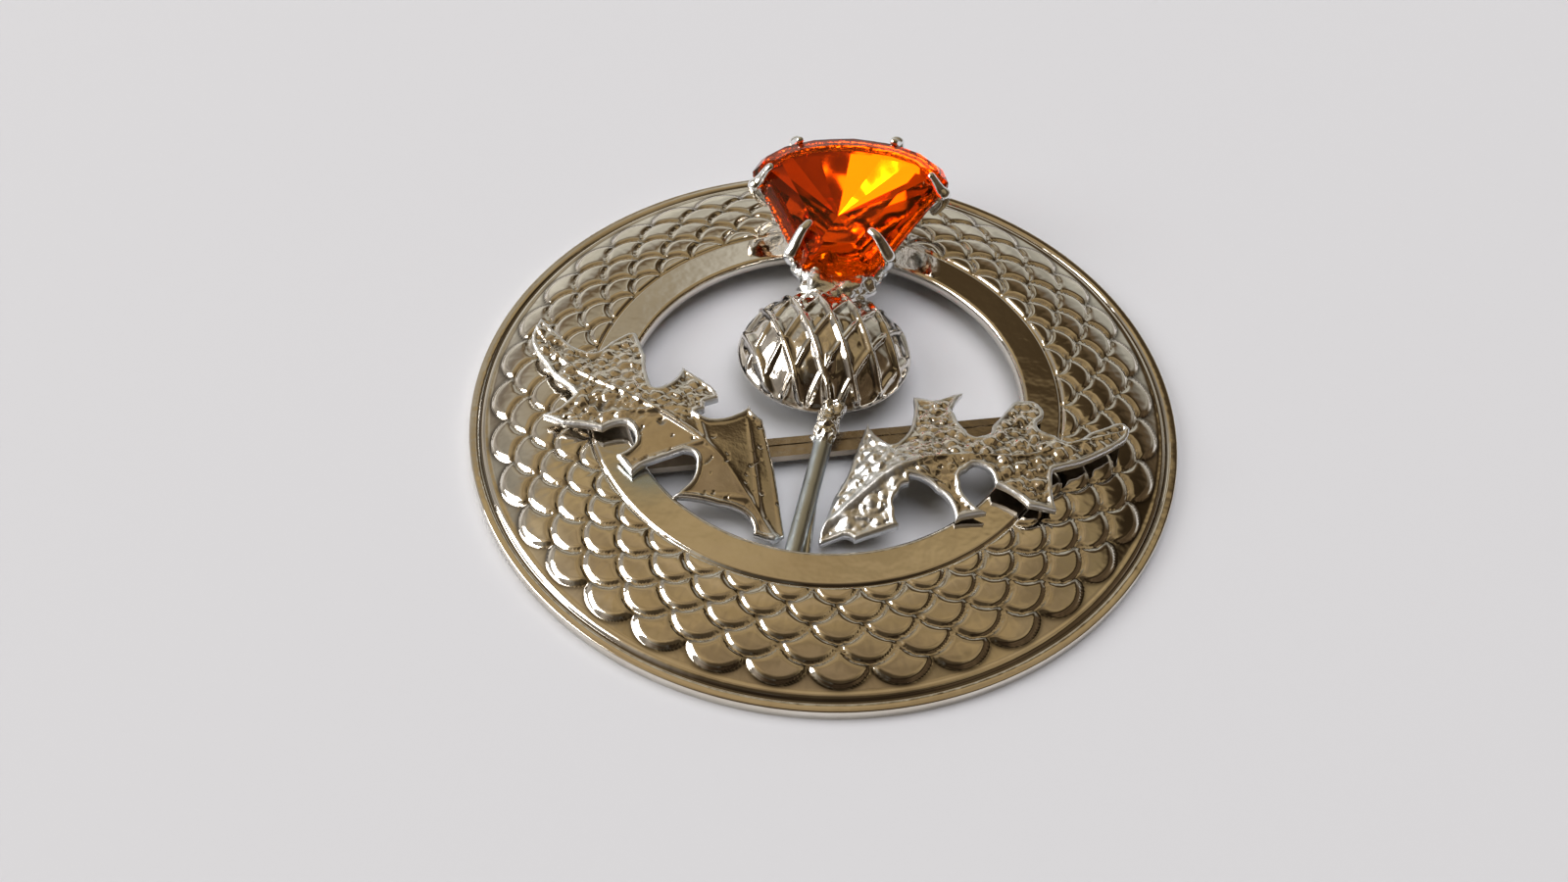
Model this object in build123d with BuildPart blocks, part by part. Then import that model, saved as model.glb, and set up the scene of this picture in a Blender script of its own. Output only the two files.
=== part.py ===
from build123d import *
import math
import os

os.makedirs("parts", exist_ok=True)

# Lengths are in millimetres and angles in degrees. The ring's centre on the floor is the origin,
# the thistle points along +Y and +Z is up.

# Clearance between two pieces that touch on the real brooch
seat_gap = 0.07

# Ring: a stamped sheet that stands on its rim
ring_radius = 27.5
bore_radius = 15.35
sheet_thickness = 0.55
rim_width = 0.6
rim_height = 0.95
lip_round = 0.25
lip_width = 0.7
groove_depth = 0.12
margin_width = 1.0
dome_height = 2.5
dome_bulge = 0.35
ridge_width = 0.3
ridge_height = 0.14
valley_width = 0.12
band_width = 2.7
band_height = 2.22
edge_height = 1.5
edge_roll = 1.0

# Fish scales on the ring's dome
scale_rows = 5
scales_per_row = 36
scale_rise = 0.2
scale_sink = 0.2
scale_taper = 35.0
scale_start = 8.3
scale_margin = 0.35

# Bulb: a hollow oval with its flat rim above the bore
bulb_centre_x = -0.45
bulb_centre_y = 4.0
bulb_width = 13.5
bulb_length = 12.5
bulb_floor = 2.3
bulb_height = 4.0
bulb_wall = 0.6
bulb_rim = 0.35
net_pitch = 2.2
net_rib = 0.32
net_rise = 0.28
net_slant = 26.0

# Stem, with the rough collar at its top and the thin second stalk beside it
stem_diameter = 1.4
stem_base_x = -0.86
stem_tuck = 0.85
stem_top_x = 0.8
stem_top_rise = 0.68
collar_diameter = 1.9
collar_length = 3.6
stalk_diameter = 0.5
stalk_spread = 1.1
stalk_length = 11.0

# Stone, in a plane that leans up towards its far end and its right side
stone_width = 16.6
stone_length = 14.8
stone_shift = 0.34
stone_lift = 3.0
stone_pitch = 6.0
stone_roll = 3.0
girdle_height = 0.5
crown_height = 1.5
crown_taper = 38.0
star_drop = 0.45
star_slope = 24.0
pavilion_depth = 2.6

# Setting: a cup that flares out of the bulb, its two feet on the ring and six claws
cup_drop = 0.35
cup_inset = 0.1
cup_depth = 2.3
cup_draw = 0.5
cup_wall = 0.9
neck_width = 4.2
neck_height = 2.6
neck_floor_gap = 0.6
neck_root = 3.1
neck_flare = 1.8
neck_reach = 1.7
foot_diameter = 1.7
foot_spread = 16.0
foot_height = 1.5
claw_diameter = 0.8
claw_bend = 0.48
claw_root = 1.95
claw_foot_share = 0.7

# Leaves
leaf_thickness = 0.4
leaf_seat_height = 1.15
leaf_rise = 2.95
leaf_tuck = 0.95
vein_width = 0.7
vein_rise = 0.2
blade_share = 0.45
left_leaf_x = -2.0
left_leaf_length = 27.7
left_leaf_turn = 140.0
right_leaf_x = 1.05
right_leaf_length = 25.6
right_leaf_turn = 30.3

# Back bar and pin
bar_width = 1.85
bar_thickness = 0.6
bar_turn = 15.0
bar_offset = 4.45
bar_groove_width = 0.5
bar_groove_depth = 0.08
bar_landing = 2.6
pin_diameter = 0.7
pin_shift = 0.35
pin_inset = 0.6
pin_block_length = 1.8
pin_floor_gap = 0.05

# Outline of the stone's right half, from its near end round to its far end
# (share of the half width, share of the length)
stone_half = (
    (0.0, -0.04),
    (0.35, 0.0),
    (0.84, 0.53),
    (1.0, 0.70),
    (0.93, 0.80),
    (0.73, 0.90),
    (0.42, 0.97),
    (0.0, 1.0),
)
# Where the culet lies below the stone (share of the half width, share of the length)
culet = (-0.08, 0.46)

# Outline of one fish scale, outwards from its shoulders (share of the pitch between scales, share of
# the step between rows), and the inner point that only the rows after the first have
scale_outline = ((-0.46, 0.0), (-0.28, -0.55), (0.0, -0.80), (0.28, -0.55), (0.46, 0.0))
scale_inner_point = (0.0, 0.72)

# Claws, in the stone's plane (knee across, knee along, tip across, tip along), as shares of the
# stone's half width and length
claws = (
    (-0.49, 0.085, -0.29, 0.25),
    (0.48, 0.10, 0.25, 0.21),
    (-0.96, 0.59, -0.75, 0.65),
    (0.97, 0.60, 0.79, 0.655),
    (-0.60, 0.96, -0.53, 0.88),
    (0.44, 1.0, 0.41, 0.925),
)

# Leaf spines, from the base to the tip: place along and across the leaf as shares of its length,
# height as a share of the leaf's rise, and the fall of its left and right halves in degrees
left_spine = (
    (-0.05, -0.01, 0.0, 5, 5),
    (0.0, -0.01, 0.0, 5, 5),
    (0.15, -0.035, 0.38, 8, 8),
    (0.30, -0.052, 0.78, 10, 8),
    (0.45, -0.032, 0.93, 9, 8),
    (0.60, 0.005, 0.93, 7, 8),
    (0.80, 0.05, 0.82, 6, 6),
    (1.05, 0.01, 0.74, 5, 5),
)
right_spine = (
    (-0.05, 0.045, 0.0, 5, 5),
    (0.0, 0.05, 0.0, 10, 5),
    (0.15, 0.082, 0.53, 19, 16),
    (0.28, 0.107, 0.93, 17, 18),
    (0.40, 0.10, 1.0, 12.5, 12),
    (0.52, 0.065, 0.96, 8, 7),
    (0.65, 0.01, 0.93, 7, 6),
    (0.80, 0.0, 0.85, 6, 6),
    (1.05, -0.01, 0.71, 4, 4),
)

# Leaf outlines, round the leaf from the base: place along and across as shares of its length, and
# how far the edge to the next point bows to the left of its own direction
left_outline = (
    (0.012, -0.04, 0.0),
    (0.17, -0.15, 0.0),
    (0.305, -0.23, 0.006),
    (0.363, -0.233, 0.004),
    (0.36, -0.18, 0.006),
    (0.386, -0.113, 0.004),
    (0.428, -0.097, 0.0),
    (0.422, -0.124, 0.0),
    (0.442, -0.141, 0.0),
    (0.432, -0.182, -0.006),
    (0.49, -0.195, 0.0),
    (0.586, -0.186, 0.008),
    (0.557, -0.101, 0.008),
    (0.578, -0.066, 0.006),
    (0.688, -0.136, 0.0),
    (0.777, -0.176, -0.006),
    (0.798, -0.164, -0.004),
    (0.791, -0.063, 0.01),
    (0.815, -0.019, 0.004),
    (0.868, -0.001, 0.0),
    (0.998, -0.005, 0.0),
    (0.973, 0.038, -0.008),
    (0.906, 0.082, 0.0),
    (0.797, 0.103, 0.004),
    (0.699, 0.103, 0.008),
    (0.705, 0.211, 0.0),
    (0.644, 0.19, 0.004),
    (0.555, 0.125, 0.008),
    (0.523, 0.066, 0.01),
    (0.46, 0.091, 0.006),
    (0.467, 0.149, 0.0),
    (0.394, 0.156, 0.006),
    (0.387, 0.094, 0.0),
    (0.353, 0.013, 0.016),
    (0.30, 0.013, 0.008),
    (0.273, 0.072, 0.0),
    (0.273, 0.117, 0.004),
    (0.179, 0.039, 0.004),
    (0.125, 0.004, 0.01),
    (0.062, 0.023, 0.0),
    (0.014, -0.006, 0.0),
)
right_outline = (
    (0.016, 0.032, 0.0),
    (0.012, 0.018, 0.0),
    (0.079, 0.008, 0.004),
    (0.103, -0.02, 0.0),
    (0.228, -0.039, 0.006),
    (0.238, 0.007, 0.01),
    (0.265, 0.044, 0.008),
    (0.303, 0.054, 0.0),
    (0.313, 0.076, 0.01),
    (0.367, 0.008, 0.008),
    (0.385, -0.069, 0.0),
    (0.377, -0.097, 0.0),
    (0.399, -0.096, 0.0),
    (0.463, -0.114, 0.006),
    (0.434, -0.05, 0.006),
    (0.44, -0.001, 0.012),
    (0.474, 0.029, 0.012),
    (0.524, 0.023, 0.01),
    (0.528, -0.043, 0.008),
    (0.583, -0.141, 0.0),
    (0.646, -0.187, 0.006),
    (0.696, -0.075, 0.006),
    (0.723, -0.062, 0.0),
    (0.797, -0.066, -0.004),
    (0.966, -0.038, -0.004),
    (1.001, -0.003, -0.004),
    (0.989, 0.027, 0.0),
    (0.88, 0.022, 0.006),
    (0.808, 0.01, 0.008),
    (0.777, 0.048, 0.008),
    (0.747, 0.091, 0.01),
    (0.782, 0.128, -0.008),
    (0.80, 0.176, -0.01),
    (0.777, 0.211, -0.006),
    (0.728, 0.215, 0.0),
    (0.624, 0.149, 0.01),
    (0.577, 0.125, 0.014),
    (0.544, 0.165, 0.006),
    (0.55, 0.248, 0.008),
    (0.561, 0.272, 0.004),
    (0.618, 0.318, 0.0),
    (0.552, 0.32, 0.006),
    (0.509, 0.332, 0.0),
    (0.475, 0.362, 0.004),
    (0.427, 0.274, 0.008),
    (0.351, 0.209, 0.012),
    (0.317, 0.223, 0.01),
    (0.311, 0.334, 0.0),
    (0.202, 0.215, 0.006),
    (0.115, 0.14, 0.0),
)

# Sizes that follow from the ones above
groove_radius = ring_radius - lip_width
dome_radius = ring_radius - margin_width
ridge_radius = bore_radius + band_width
valley_radius = ridge_radius + ridge_width
crest_radius = valley_radius + valley_width
under_height = band_height - sheet_thickness
under_edge_height = edge_height - seat_gap
scale_step = (dome_radius - crest_radius - scale_margin) / scale_rows
bulb_radius = ((bulb_width / 2) ** 2 + bulb_height**2) / (2 * bulb_height)
bulb_axis_height = bulb_floor + bulb_height - bulb_radius
bulb_half_length = bulb_length / 2 * bulb_radius / (bulb_width / 2)
stem_radius = stem_diameter / 2
stem_base = Vector(stem_base_x, -(bore_radius + stem_tuck), under_edge_height - stem_radius)
stem_top = Vector(stem_top_x, bulb_centre_y - bulb_length / 2, bulb_floor + stem_top_rise)
stem_direction = (stem_top - stem_base).normalized()
stem_length = (stem_top - stem_base).length
stone_near = Vector(
    bulb_centre_x + stone_shift,
    bulb_centre_y + bulb_length / 2 + seat_gap,
    bulb_floor + stone_lift,
)
stone_x_dir = Vector(1, 0, 0).rotate(Axis.Y, -stone_roll)
stone_y_dir = Vector(0, 1, 0).rotate(Axis.X, stone_pitch)
stone_plane = Plane(origin=stone_near, x_dir=stone_x_dir, z_dir=stone_x_dir.cross(stone_y_dir))
claw_radius = claw_diameter / 2
leaf_base_y = -(bore_radius - leaf_tuck)
bar_plane = Plane.XY.offset(under_edge_height).rotated((0, 0, bar_turn))
bar_length = 2 * math.sqrt((bore_radius + bar_landing) ** 2 - bar_offset**2)
pin_length = bar_length - 2 * pin_inset
pin_block_top = bar_thickness + seat_gap
pin_block_height = under_edge_height - pin_block_top - pin_floor_gap


def dome_point(radius):
    """Give the height and the outward slope of the ring's domed face at a radius."""
    width = dome_radius - crest_radius
    fall = dome_height - rim_height
    arc_radius = (width**2 + fall**2) / (8 * dome_bulge) + dome_bulge / 2
    chord_slope = math.atan2(fall, width)
    centre_radius = (crest_radius + dome_radius) / 2
    centre_radius -= (arc_radius - dome_bulge) * math.sin(chord_slope)
    centre_height = (dome_height + rim_height) / 2
    centre_height -= (arc_radius - dome_bulge) * math.cos(chord_slope)
    slope = math.asin((radius - centre_radius) / arc_radius)
    return centre_height + arc_radius * math.cos(slope), slope


def ring_profile():
    """Draw the ring's section: lip, groove, domed slope, ridge line, plain band and rolled edge."""
    with BuildLine() as outline:
        lip = Polyline(
            (ring_radius - rim_width, 0),
            (ring_radius, 0),
            (ring_radius, rim_height - lip_round),
            (ring_radius - lip_round, rim_height),
            (groove_radius + groove_depth, rim_height),
            (groove_radius, rim_height - groove_depth),
            (groove_radius - groove_depth, rim_height),
            (dome_radius, rim_height),
        )
        dome = SagittaArc((crest_radius, dome_height), lip @ 1, dome_bulge)
        valley = Polyline(dome @ 0, (crest_radius, band_height), (valley_radius, band_height))
        ridge = SagittaArc((ridge_radius, band_height), valley @ 1, ridge_height)
        band = Line(ridge @ 0, (bore_radius + edge_roll, band_height))
        roll = SagittaArc((bore_radius, edge_height), band @ 1, edge_roll / 6)
        below = Polyline(
            roll @ 0,
            (bore_radius + sheet_thickness, edge_height),
            (bore_radius + edge_roll + sheet_thickness / 2, under_height),
            (ridge_radius, under_height),
            (crest_radius + sheet_thickness / 2, dome_height - sheet_thickness),
        )
        under_dome = SagittaArc(
            below @ 1,
            (dome_radius - sheet_thickness / 2, rim_height - sheet_thickness),
            dome_bulge,
        )
        Polyline(under_dome @ 1, (ring_radius - rim_width, rim_height / 4), lip @ 0)
    return outline.line


def scale(row):
    """Make a row's first fish scale on the +X side, with its arc outwards."""
    shoulder_radius = crest_radius + row * scale_step
    height, slope = dome_point(shoulder_radius)
    pitch = 2 * math.pi * shoulder_radius / scales_per_row
    face = Plane(
        origin=(shoulder_radius, 0, height),
        x_dir=(0, 1, 0),
        z_dir=(math.sin(slope), 0, math.cos(slope)),
    ).offset(-scale_sink)
    shares = scale_outline + ((scale_inner_point,) if row else ())
    outline = [(across * pitch, inward * scale_step) for across, inward in shares]
    with BuildPart() as plate:
        with BuildSketch(face):
            Polygon(*outline, align=None)
        extrude(amount=scale_sink + scale_rise, taper=scale_taper)
    return plate.part


def bulb_oval(grow, floor):
    """Make the bulb's oval, grown all round, and keep what lies above a floor height."""
    with BuildPart() as oval:
        with BuildSketch(Plane.YZ.offset(bulb_centre_x)):
            with Locations((bulb_centre_y, bulb_axis_height)):
                Ellipse(bulb_half_length + grow, bulb_radius + grow)
                Rectangle(
                    2 * (bulb_half_length + grow),
                    bulb_radius + grow,
                    align=(Align.CENTER, Align.MAX),
                    mode=Mode.SUBTRACT,
                )
        revolve(axis=Axis((bulb_centre_x, 0, bulb_axis_height), (0, 1, 0)))
        split(bisect_by=Plane.XY.offset(floor), keep=Keep.TOP)
    return oval.part


def net_space():
    """Fill the space over the bulb where its net and its rim stand up."""
    half_width = bulb_width / 2
    reach = half_width + bulb_length / 2 * math.tan(math.radians(net_slant))
    strips = 2 * math.floor(reach / net_pitch) + 1
    step = net_pitch * math.cos(math.radians(net_slant))
    with BuildPart() as space:
        with BuildSketch(Plane.XY.offset(bulb_floor)):
            for slant in (net_slant, -net_slant):
                with Locations(Location((bulb_centre_x, bulb_centre_y), slant)):
                    with GridLocations(step, 0, strips, 1):
                        Rectangle(net_rib, 2 * bulb_length)
        extrude(amount=2 * bulb_height)
        with BuildSketch(Plane.XY.offset(bulb_floor)):
            with Locations((bulb_centre_x, bulb_centre_y)):
                Rectangle(2 * bulb_width, 2 * bulb_length)
        extrude(amount=bulb_rim)
    return space.part


def stone_corners():
    """List the corners of the stone's outline, anticlockwise from its near end."""
    half_width = stone_width / 2
    right = [Vector(across * half_width, along * stone_length) for across, along in stone_half]
    left = [Vector(-corner.X, corner.Y) for corner in reversed(right[1:-1])]
    return right + left


def stone_outline(plane, grow):
    """Draw the stone's girdle outline on a plane, grown or shrunk all round."""
    with BuildSketch(plane, mode=Mode.PRIVATE) as girdle:
        Polygon(*stone_corners(), align=None)
        if grow:
            offset(amount=grow, kind=Kind.INTERSECTION)
    return girdle.sketch


def star_planes(table_height):
    """List the planes that cut a star facet across each corner of the stone's table."""
    corners = stone_corners()
    inset = crown_height * math.tan(math.radians(crown_taper))
    lean = math.radians(star_slope)
    planes = []
    for before, corner, after in zip(corners[-1:] + corners, corners, corners[1:] + corners[:1]):
        turn = (after - before).normalized()
        out = Vector(turn.Y, -turn.X)
        origin = corner - out * inset + Vector(0, 0, table_height - star_drop)
        normal = out * math.sin(lean) + Vector(0, 0, math.cos(lean))
        planes.append(
            Plane(
                origin=stone_plane.from_local_coords(origin),
                z_dir=stone_plane.from_local_coords(normal) - stone_plane.origin,
            )
        )
    return planes


def cut_stone(grow):
    """Cut the stone: girdle, tapered crown facets, star facets at the corners, and pavilion."""
    half_girdle = girdle_height / 2 + grow
    girdle = stone_outline(stone_plane.offset(-half_girdle), grow)
    table = stone_outline(stone_plane.offset(half_girdle), grow)
    keel = (culet[0] * stone_width / 2, culet[1] * stone_length, -half_girdle - pavilion_depth)
    with BuildPart() as gem:
        extrude(girdle, amount=2 * half_girdle)
        extrude(table, amount=crown_height, taper=crown_taper)
        loft([girdle.face(), Vertex(*stone_plane.from_local_coords(keel))], ruled=True)
        for star in star_planes(half_girdle + crown_height):
            split(bisect_by=star, keep=Keep.BOTTOM)
    return gem.part


def leaf(base_x, length, turn, spine, outline):
    """Loft a folded sheet with a raised midrib along a spine and trim it to the leaf's outline."""
    plan = Plane(origin=(base_x, leaf_base_y, 0)).rotated((0, 0, turn))
    half_width = blade_share * length
    with BuildPart() as blade:
        for along, across, rise, left_fall, right_fall in spine:
            origin = plan.from_local_coords((along * length, 0, 0))
            middle = across * length
            crest = leaf_seat_height + rise * leaf_rise
            left_edge = crest - half_width * math.tan(math.radians(left_fall))
            right_edge = crest - half_width * math.tan(math.radians(right_fall))
            left_vein = crest - vein_width / 2 * math.tan(math.radians(left_fall))
            right_vein = crest - vein_width / 2 * math.tan(math.radians(right_fall))
            with BuildSketch(Plane(origin=origin, x_dir=plan.y_dir, z_dir=plan.x_dir)):
                Polygon(
                    (middle - half_width, right_edge - leaf_thickness),
                    (middle, crest - leaf_thickness),
                    (middle + half_width, left_edge - leaf_thickness),
                    (middle + half_width, left_edge),
                    (middle + vein_width / 2, left_vein),
                    (middle, crest + vein_rise),
                    (middle - vein_width / 2, right_vein),
                    (middle - half_width, right_edge),
                    align=None,
                )
        loft()
        with BuildSketch(plan):
            with BuildLine():
                for (along, across, bow), (next_along, next_across, _) in zip(
                    outline, outline[1:] + outline[:1]
                ):
                    start = (along * length, across * length)
                    end = (next_along * length, next_across * length)
                    if bow:
                        SagittaArc(start, end, bow * length)
                    else:
                        Line(start, end)
            make_face()
        extrude(amount=leaf_seat_height + 2 * leaf_rise, mode=Mode.INTERSECT)
    return blade.part


scales = [scale(row) for row in range(scale_rows)]

with BuildPart() as ring:
    with BuildSketch(Plane.XZ):
        add(ring_profile())
        make_face()
    revolve(axis=Axis.Z)
    for row, plate in enumerate(scales):
        start = scale_start - 180 / scales_per_row * (row % 2)
        with PolarLocations(0, scales_per_row, start_angle=start):
            add(plate, clean=False)

ring.part.label = "ring"
export_step(ring.part, "parts/ring.step")

bulb_net = net_space()
bulb_relief = bulb_oval(net_rise, bulb_floor)
bulb_dome = bulb_oval(0, bulb_floor)
bulb_hollow = bulb_oval(-bulb_wall, bulb_floor - seat_gap)

with BuildPart() as bulb:
    add(bulb_relief)
    add(bulb_net, mode=Mode.INTERSECT)
    add(bulb_dome)
    add(bulb_hollow, mode=Mode.SUBTRACT)

bulb.part.label = "bulb"
export_step(bulb.part, "parts/bulb.step")

bulb_space = bulb_oval(net_rise + seat_gap, bulb_floor - seat_gap)

with BuildPart() as stem:
    with BuildSketch(Plane(origin=stem_base, z_dir=stem_direction)):
        Circle(stem_radius)
    extrude(amount=stem_length + stem_radius)
    with BuildSketch(Plane(origin=stem_top - stem_direction * collar_length, z_dir=stem_direction)):
        Circle(collar_diameter / 2)
    extrude(amount=collar_length + stem_radius)
    stalk_base = stem_base + Vector(stalk_spread, stem_radius, 0)
    stalk_way = stem_base + stem_direction * stalk_length - stalk_base
    with BuildSketch(Plane(origin=stalk_base, z_dir=stalk_way)):
        Circle(stalk_diameter / 2)
    extrude(amount=stalk_way.length)
    with BuildSketch(Plane.XY.offset(under_edge_height)):
        Circle(ring_radius)
        Circle(bore_radius - seat_gap, mode=Mode.SUBTRACT)
    extrude(amount=band_height, mode=Mode.SUBTRACT)
    add(bulb_space, mode=Mode.SUBTRACT)

stem.part.label = "stem"
export_step(stem.part, "parts/stem.step")

stone = cut_stone(0)
stone.label = "stone"
export_step(stone, "parts/stone.step")

stone_space = cut_stone(seat_gap)
cup_top = stone_plane.offset(-cup_drop)
cup_bottom = stone_plane.offset(-cup_drop - cup_depth)
cup_outside = [stone_outline(cup_top, -cup_inset), stone_outline(cup_bottom, -cup_inset - cup_draw)]
cup_inside = [
    stone_outline(cup_top, -cup_inset - cup_wall),
    stone_outline(cup_bottom, -cup_inset - cup_draw - cup_wall),
]
neck_height_middle = bulb_floor + neck_floor_gap + neck_height / 2

with BuildPart() as setting:
    loft(cup_outside, ruled=True)
    loft(cup_inside, ruled=True, mode=Mode.SUBTRACT)
    with BuildSketch(Plane.XZ.offset(-(stone_near.Y - neck_root))):
        with Locations((bulb_centre_x, neck_height_middle)):
            Ellipse(neck_width / 2, neck_height / 2)
    with BuildSketch(Plane.XZ.offset(-(stone_near.Y + neck_reach))):
        with Locations((stone_near.X, neck_height_middle)):
            Ellipse(neck_width / 2 * neck_flare, neck_height / 2)
    loft()
    with BuildSketch(Plane.XY.offset(band_height + seat_gap)):
        for turn in (90 - foot_spread, 90 + foot_spread):
            with PolarLocations(bore_radius + band_width / 2, 1, start_angle=turn):
                Circle(foot_diameter / 2)
    extrude(amount=foot_height)
    for knee_across, knee_along, tip_across, tip_along in claws:
        knee = Vector(knee_across * stone_width / 2, knee_along * stone_length)
        tip = Vector(tip_across * stone_width / 2, tip_along * stone_length)
        foot = knee + (tip - knee) * claw_foot_share
        with BuildLine(stone_plane) as claw:
            FilletPolyline(
                (foot.X, foot.Y, -claw_root),
                (knee.X, knee.Y, -girdle_height / 2),
                (knee.X, knee.Y, girdle_height / 2 + crown_height / 3),
                (tip.X, tip.Y, girdle_height / 2 + crown_height + claw_radius / 3),
                radius=claw_bend,
            )
        with BuildSketch(Plane(claw.line ^ 0)):
            Circle(claw_radius)
        sweep(path=claw.line)
    add(stone_space, mode=Mode.SUBTRACT)
    add(bulb_space, mode=Mode.SUBTRACT)

setting.part.label = "setting"
export_step(setting.part, "parts/setting.step")

leaf_left = leaf(left_leaf_x, left_leaf_length, left_leaf_turn, left_spine, left_outline)
leaf_left.label = "leaf_left"
export_step(leaf_left, "parts/leaf_left.step")

leaf_right = leaf(right_leaf_x, right_leaf_length, right_leaf_turn, right_spine, right_outline)
leaf_right.label = "leaf_right"
export_step(leaf_right, "parts/leaf_right.step")

with BuildPart() as back_bar:
    with BuildSketch(bar_plane):
        with Locations((0, -bar_offset)):
            Rectangle(bar_length, bar_width)
    extrude(amount=-bar_thickness)
    with BuildSketch(bar_plane):
        with Locations((0, -bar_offset)):
            Rectangle(bar_length, bar_groove_width)
    extrude(amount=-bar_groove_depth, mode=Mode.SUBTRACT)

back_bar.part.label = "back_bar"
export_step(back_bar.part, "parts/back_bar.step")

with BuildPart() as pin:
    with BuildSketch(bar_plane.offset(-pin_block_top)):
        with Locations((0, -bar_offset)):
            with GridLocations(pin_length - pin_block_length, 0, 2, 1):
                Rectangle(pin_block_length, bar_width - pin_shift)
    extrude(amount=-pin_block_height)
    wire_depth = pin_block_top + pin_block_height - pin_diameter / 2
    wire_start = (-(pin_length - pin_block_length) / 2, pin_shift - bar_offset, -wire_depth)
    wire_plane = Plane(origin=bar_plane.from_local_coords(wire_start), z_dir=bar_plane.x_dir)
    with BuildSketch(wire_plane):
        Circle(pin_diameter / 2)
    extrude(amount=pin_length - pin_block_length)

pin.part.label = "pin"
export_step(pin.part, "parts/pin.step")
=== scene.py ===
import math

import bpy
import numpy as np
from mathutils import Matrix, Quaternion, Vector, geometry


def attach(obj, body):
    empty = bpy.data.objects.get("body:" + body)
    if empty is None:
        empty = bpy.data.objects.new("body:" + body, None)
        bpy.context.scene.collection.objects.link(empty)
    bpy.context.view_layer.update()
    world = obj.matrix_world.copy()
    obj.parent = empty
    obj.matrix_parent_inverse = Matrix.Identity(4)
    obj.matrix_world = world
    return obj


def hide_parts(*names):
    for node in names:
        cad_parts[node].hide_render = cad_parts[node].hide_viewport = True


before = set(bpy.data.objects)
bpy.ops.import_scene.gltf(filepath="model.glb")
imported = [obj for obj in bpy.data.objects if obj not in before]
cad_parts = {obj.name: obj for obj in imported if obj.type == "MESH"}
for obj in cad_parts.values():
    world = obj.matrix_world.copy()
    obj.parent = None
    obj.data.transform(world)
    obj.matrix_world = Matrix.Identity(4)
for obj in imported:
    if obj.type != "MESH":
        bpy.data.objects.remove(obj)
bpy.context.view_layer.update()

# The ring: one disc of thin brass, stamped in a die and then plated. Inside its rim and a thin
# groove, five rows of fish scales climb a low dome to a fine step, and a plain band above them
# ends in an edge turned down round the bore. Sizes are in millimetres here and in every section.
MM = 0.001
RING_RADIUS = 27.5
BORE_RADIUS = 15.35
RIM_WIDTH = 0.6
RIM_HEIGHT = 0.95
LIP_ROUND = 0.15
GROOVE_RADIUS = 26.66
GROOVE_WIDTH = 0.125
GROOVE_DEPTH = 0.16
DOME_RADIUS = 26.38
DOME_HEIGHT = 2.2
DOME_BULGE = 0.3
SWELL_RADIUS = 26.28
SWELL_WIDTH = 0.2
SWELL_HEIGHT = 0.1
CREST_RADIUS = 18.47
BAND_RADIUS = 18.1
BAND_HEIGHT = 2.42
BAND_UNDER = 1.67
ROLL_RADIUS = 15.85
EDGE_HEIGHT = 1.6
SCALES = 36
SCALE_ROWS = 5
SCALE_START = math.radians(8.3)
FIRST_TOP = 19.68
SCALE_STEP = 1.54
SCALE_RISE = 0.24
SCALE_FALL = 0.48
SCALE_DIP = 0.45
SCALE_DIP_SHARE = 0.55
SCALE_SWELL = 0.07
SCALE_FADE = 0.25
EDGE_POWER = 0.6
CREASE_WIDTH = 0.25
AROUND = SCALES * 22
# Radii across the plain margin, closest together over the groove and the lip
MARGIN = (26.45, 26.52, 26.59, 26.66, 26.73, 26.8, 26.9, 27.1, 27.33, 27.4, 27.45)
# The sheet's underside from the rim in to the band, as radii and heights
UNDERSIDE = ((26.2, 0.42), (24.8, 1.03), (23.2, 1.46), (21.0, 1.82), (18.8, 1.96))
# Spilt solder on the band beside the left leaf: its place, its reach and the size of its blotches
SPILL = (-12.6, -10.2)
SPILL_REACH = 2.0
SPILL_BLOTCH = 0.9
# How much of the colour the painted shade in a crease takes, how far the haze of handling
# roughens the plating, and how much rougher a film of solder is
CREASE_SHADE_SHARE = 0.85
HAZE_GAIN = 2.2
SOLDER_DULLING = 0.2


def linear(code):
    """Turn an sRGB hex colour into linear light with full opacity."""
    share = np.array([int(code[i:i + 2], 16) / 255 for i in (1, 3, 5)])
    light = np.where(share <= 0.04045, share / 12.92, ((share + 0.055) / 1.055) ** 2.4)
    return (*light.tolist(), 1.0)


def add(tree, kind, sockets=None, stops=None, **settings):
    """Add a node with its settings, its ramp's stops, and its sockets' values or links."""
    node = tree.nodes.new(kind)
    for name, value in settings.items():
        setattr(node, name, value)
    for place, (position, code) in enumerate(stops or ()):
        if place > 1:
            node.color_ramp.elements.new(position)
        node.color_ramp.elements[place].position = position
        node.color_ramp.elements[place].color = linear(code)
    for socket, value in (sockets or {}).items():
        if isinstance(value, bpy.types.NodeSocket):
            tree.links.new(value, node.inputs[socket])
        else:
            node.inputs[socket].default_value = value
    return node


def smooth_step(share):
    """Ease from 0 to 1: three times the share squared less twice its cube, held at the ends."""
    share = np.clip(share, 0, 1)
    return share * share * (3 - 2 * share)


def value_noise(x, y, z, size, seed):
    """Smooth random heights from 0 to 1: random values on a lattice of the given spacing, eased
    from corner to corner."""
    table = np.random.default_rng(seed).random((32, 32, 32))
    spots = [np.asarray(axis) / size for axis in (x, y, z)]
    low = [np.floor(spot).astype(int) for spot in spots]
    part = [smooth_step(spot - corner) for spot, corner in zip(spots, low)]
    total = 0
    for i in (0, 1):
        for j in (0, 1):
            for k in (0, 1):
                weight = ((part[0] if i else 1 - part[0]) * (part[1] if j else 1 - part[1])
                          * (part[2] if k else 1 - part[2]))
                total = total + weight * table[(low[0] + i) % 32, (low[1] + j) % 32, (low[2] + k) % 32]
    return total


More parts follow.
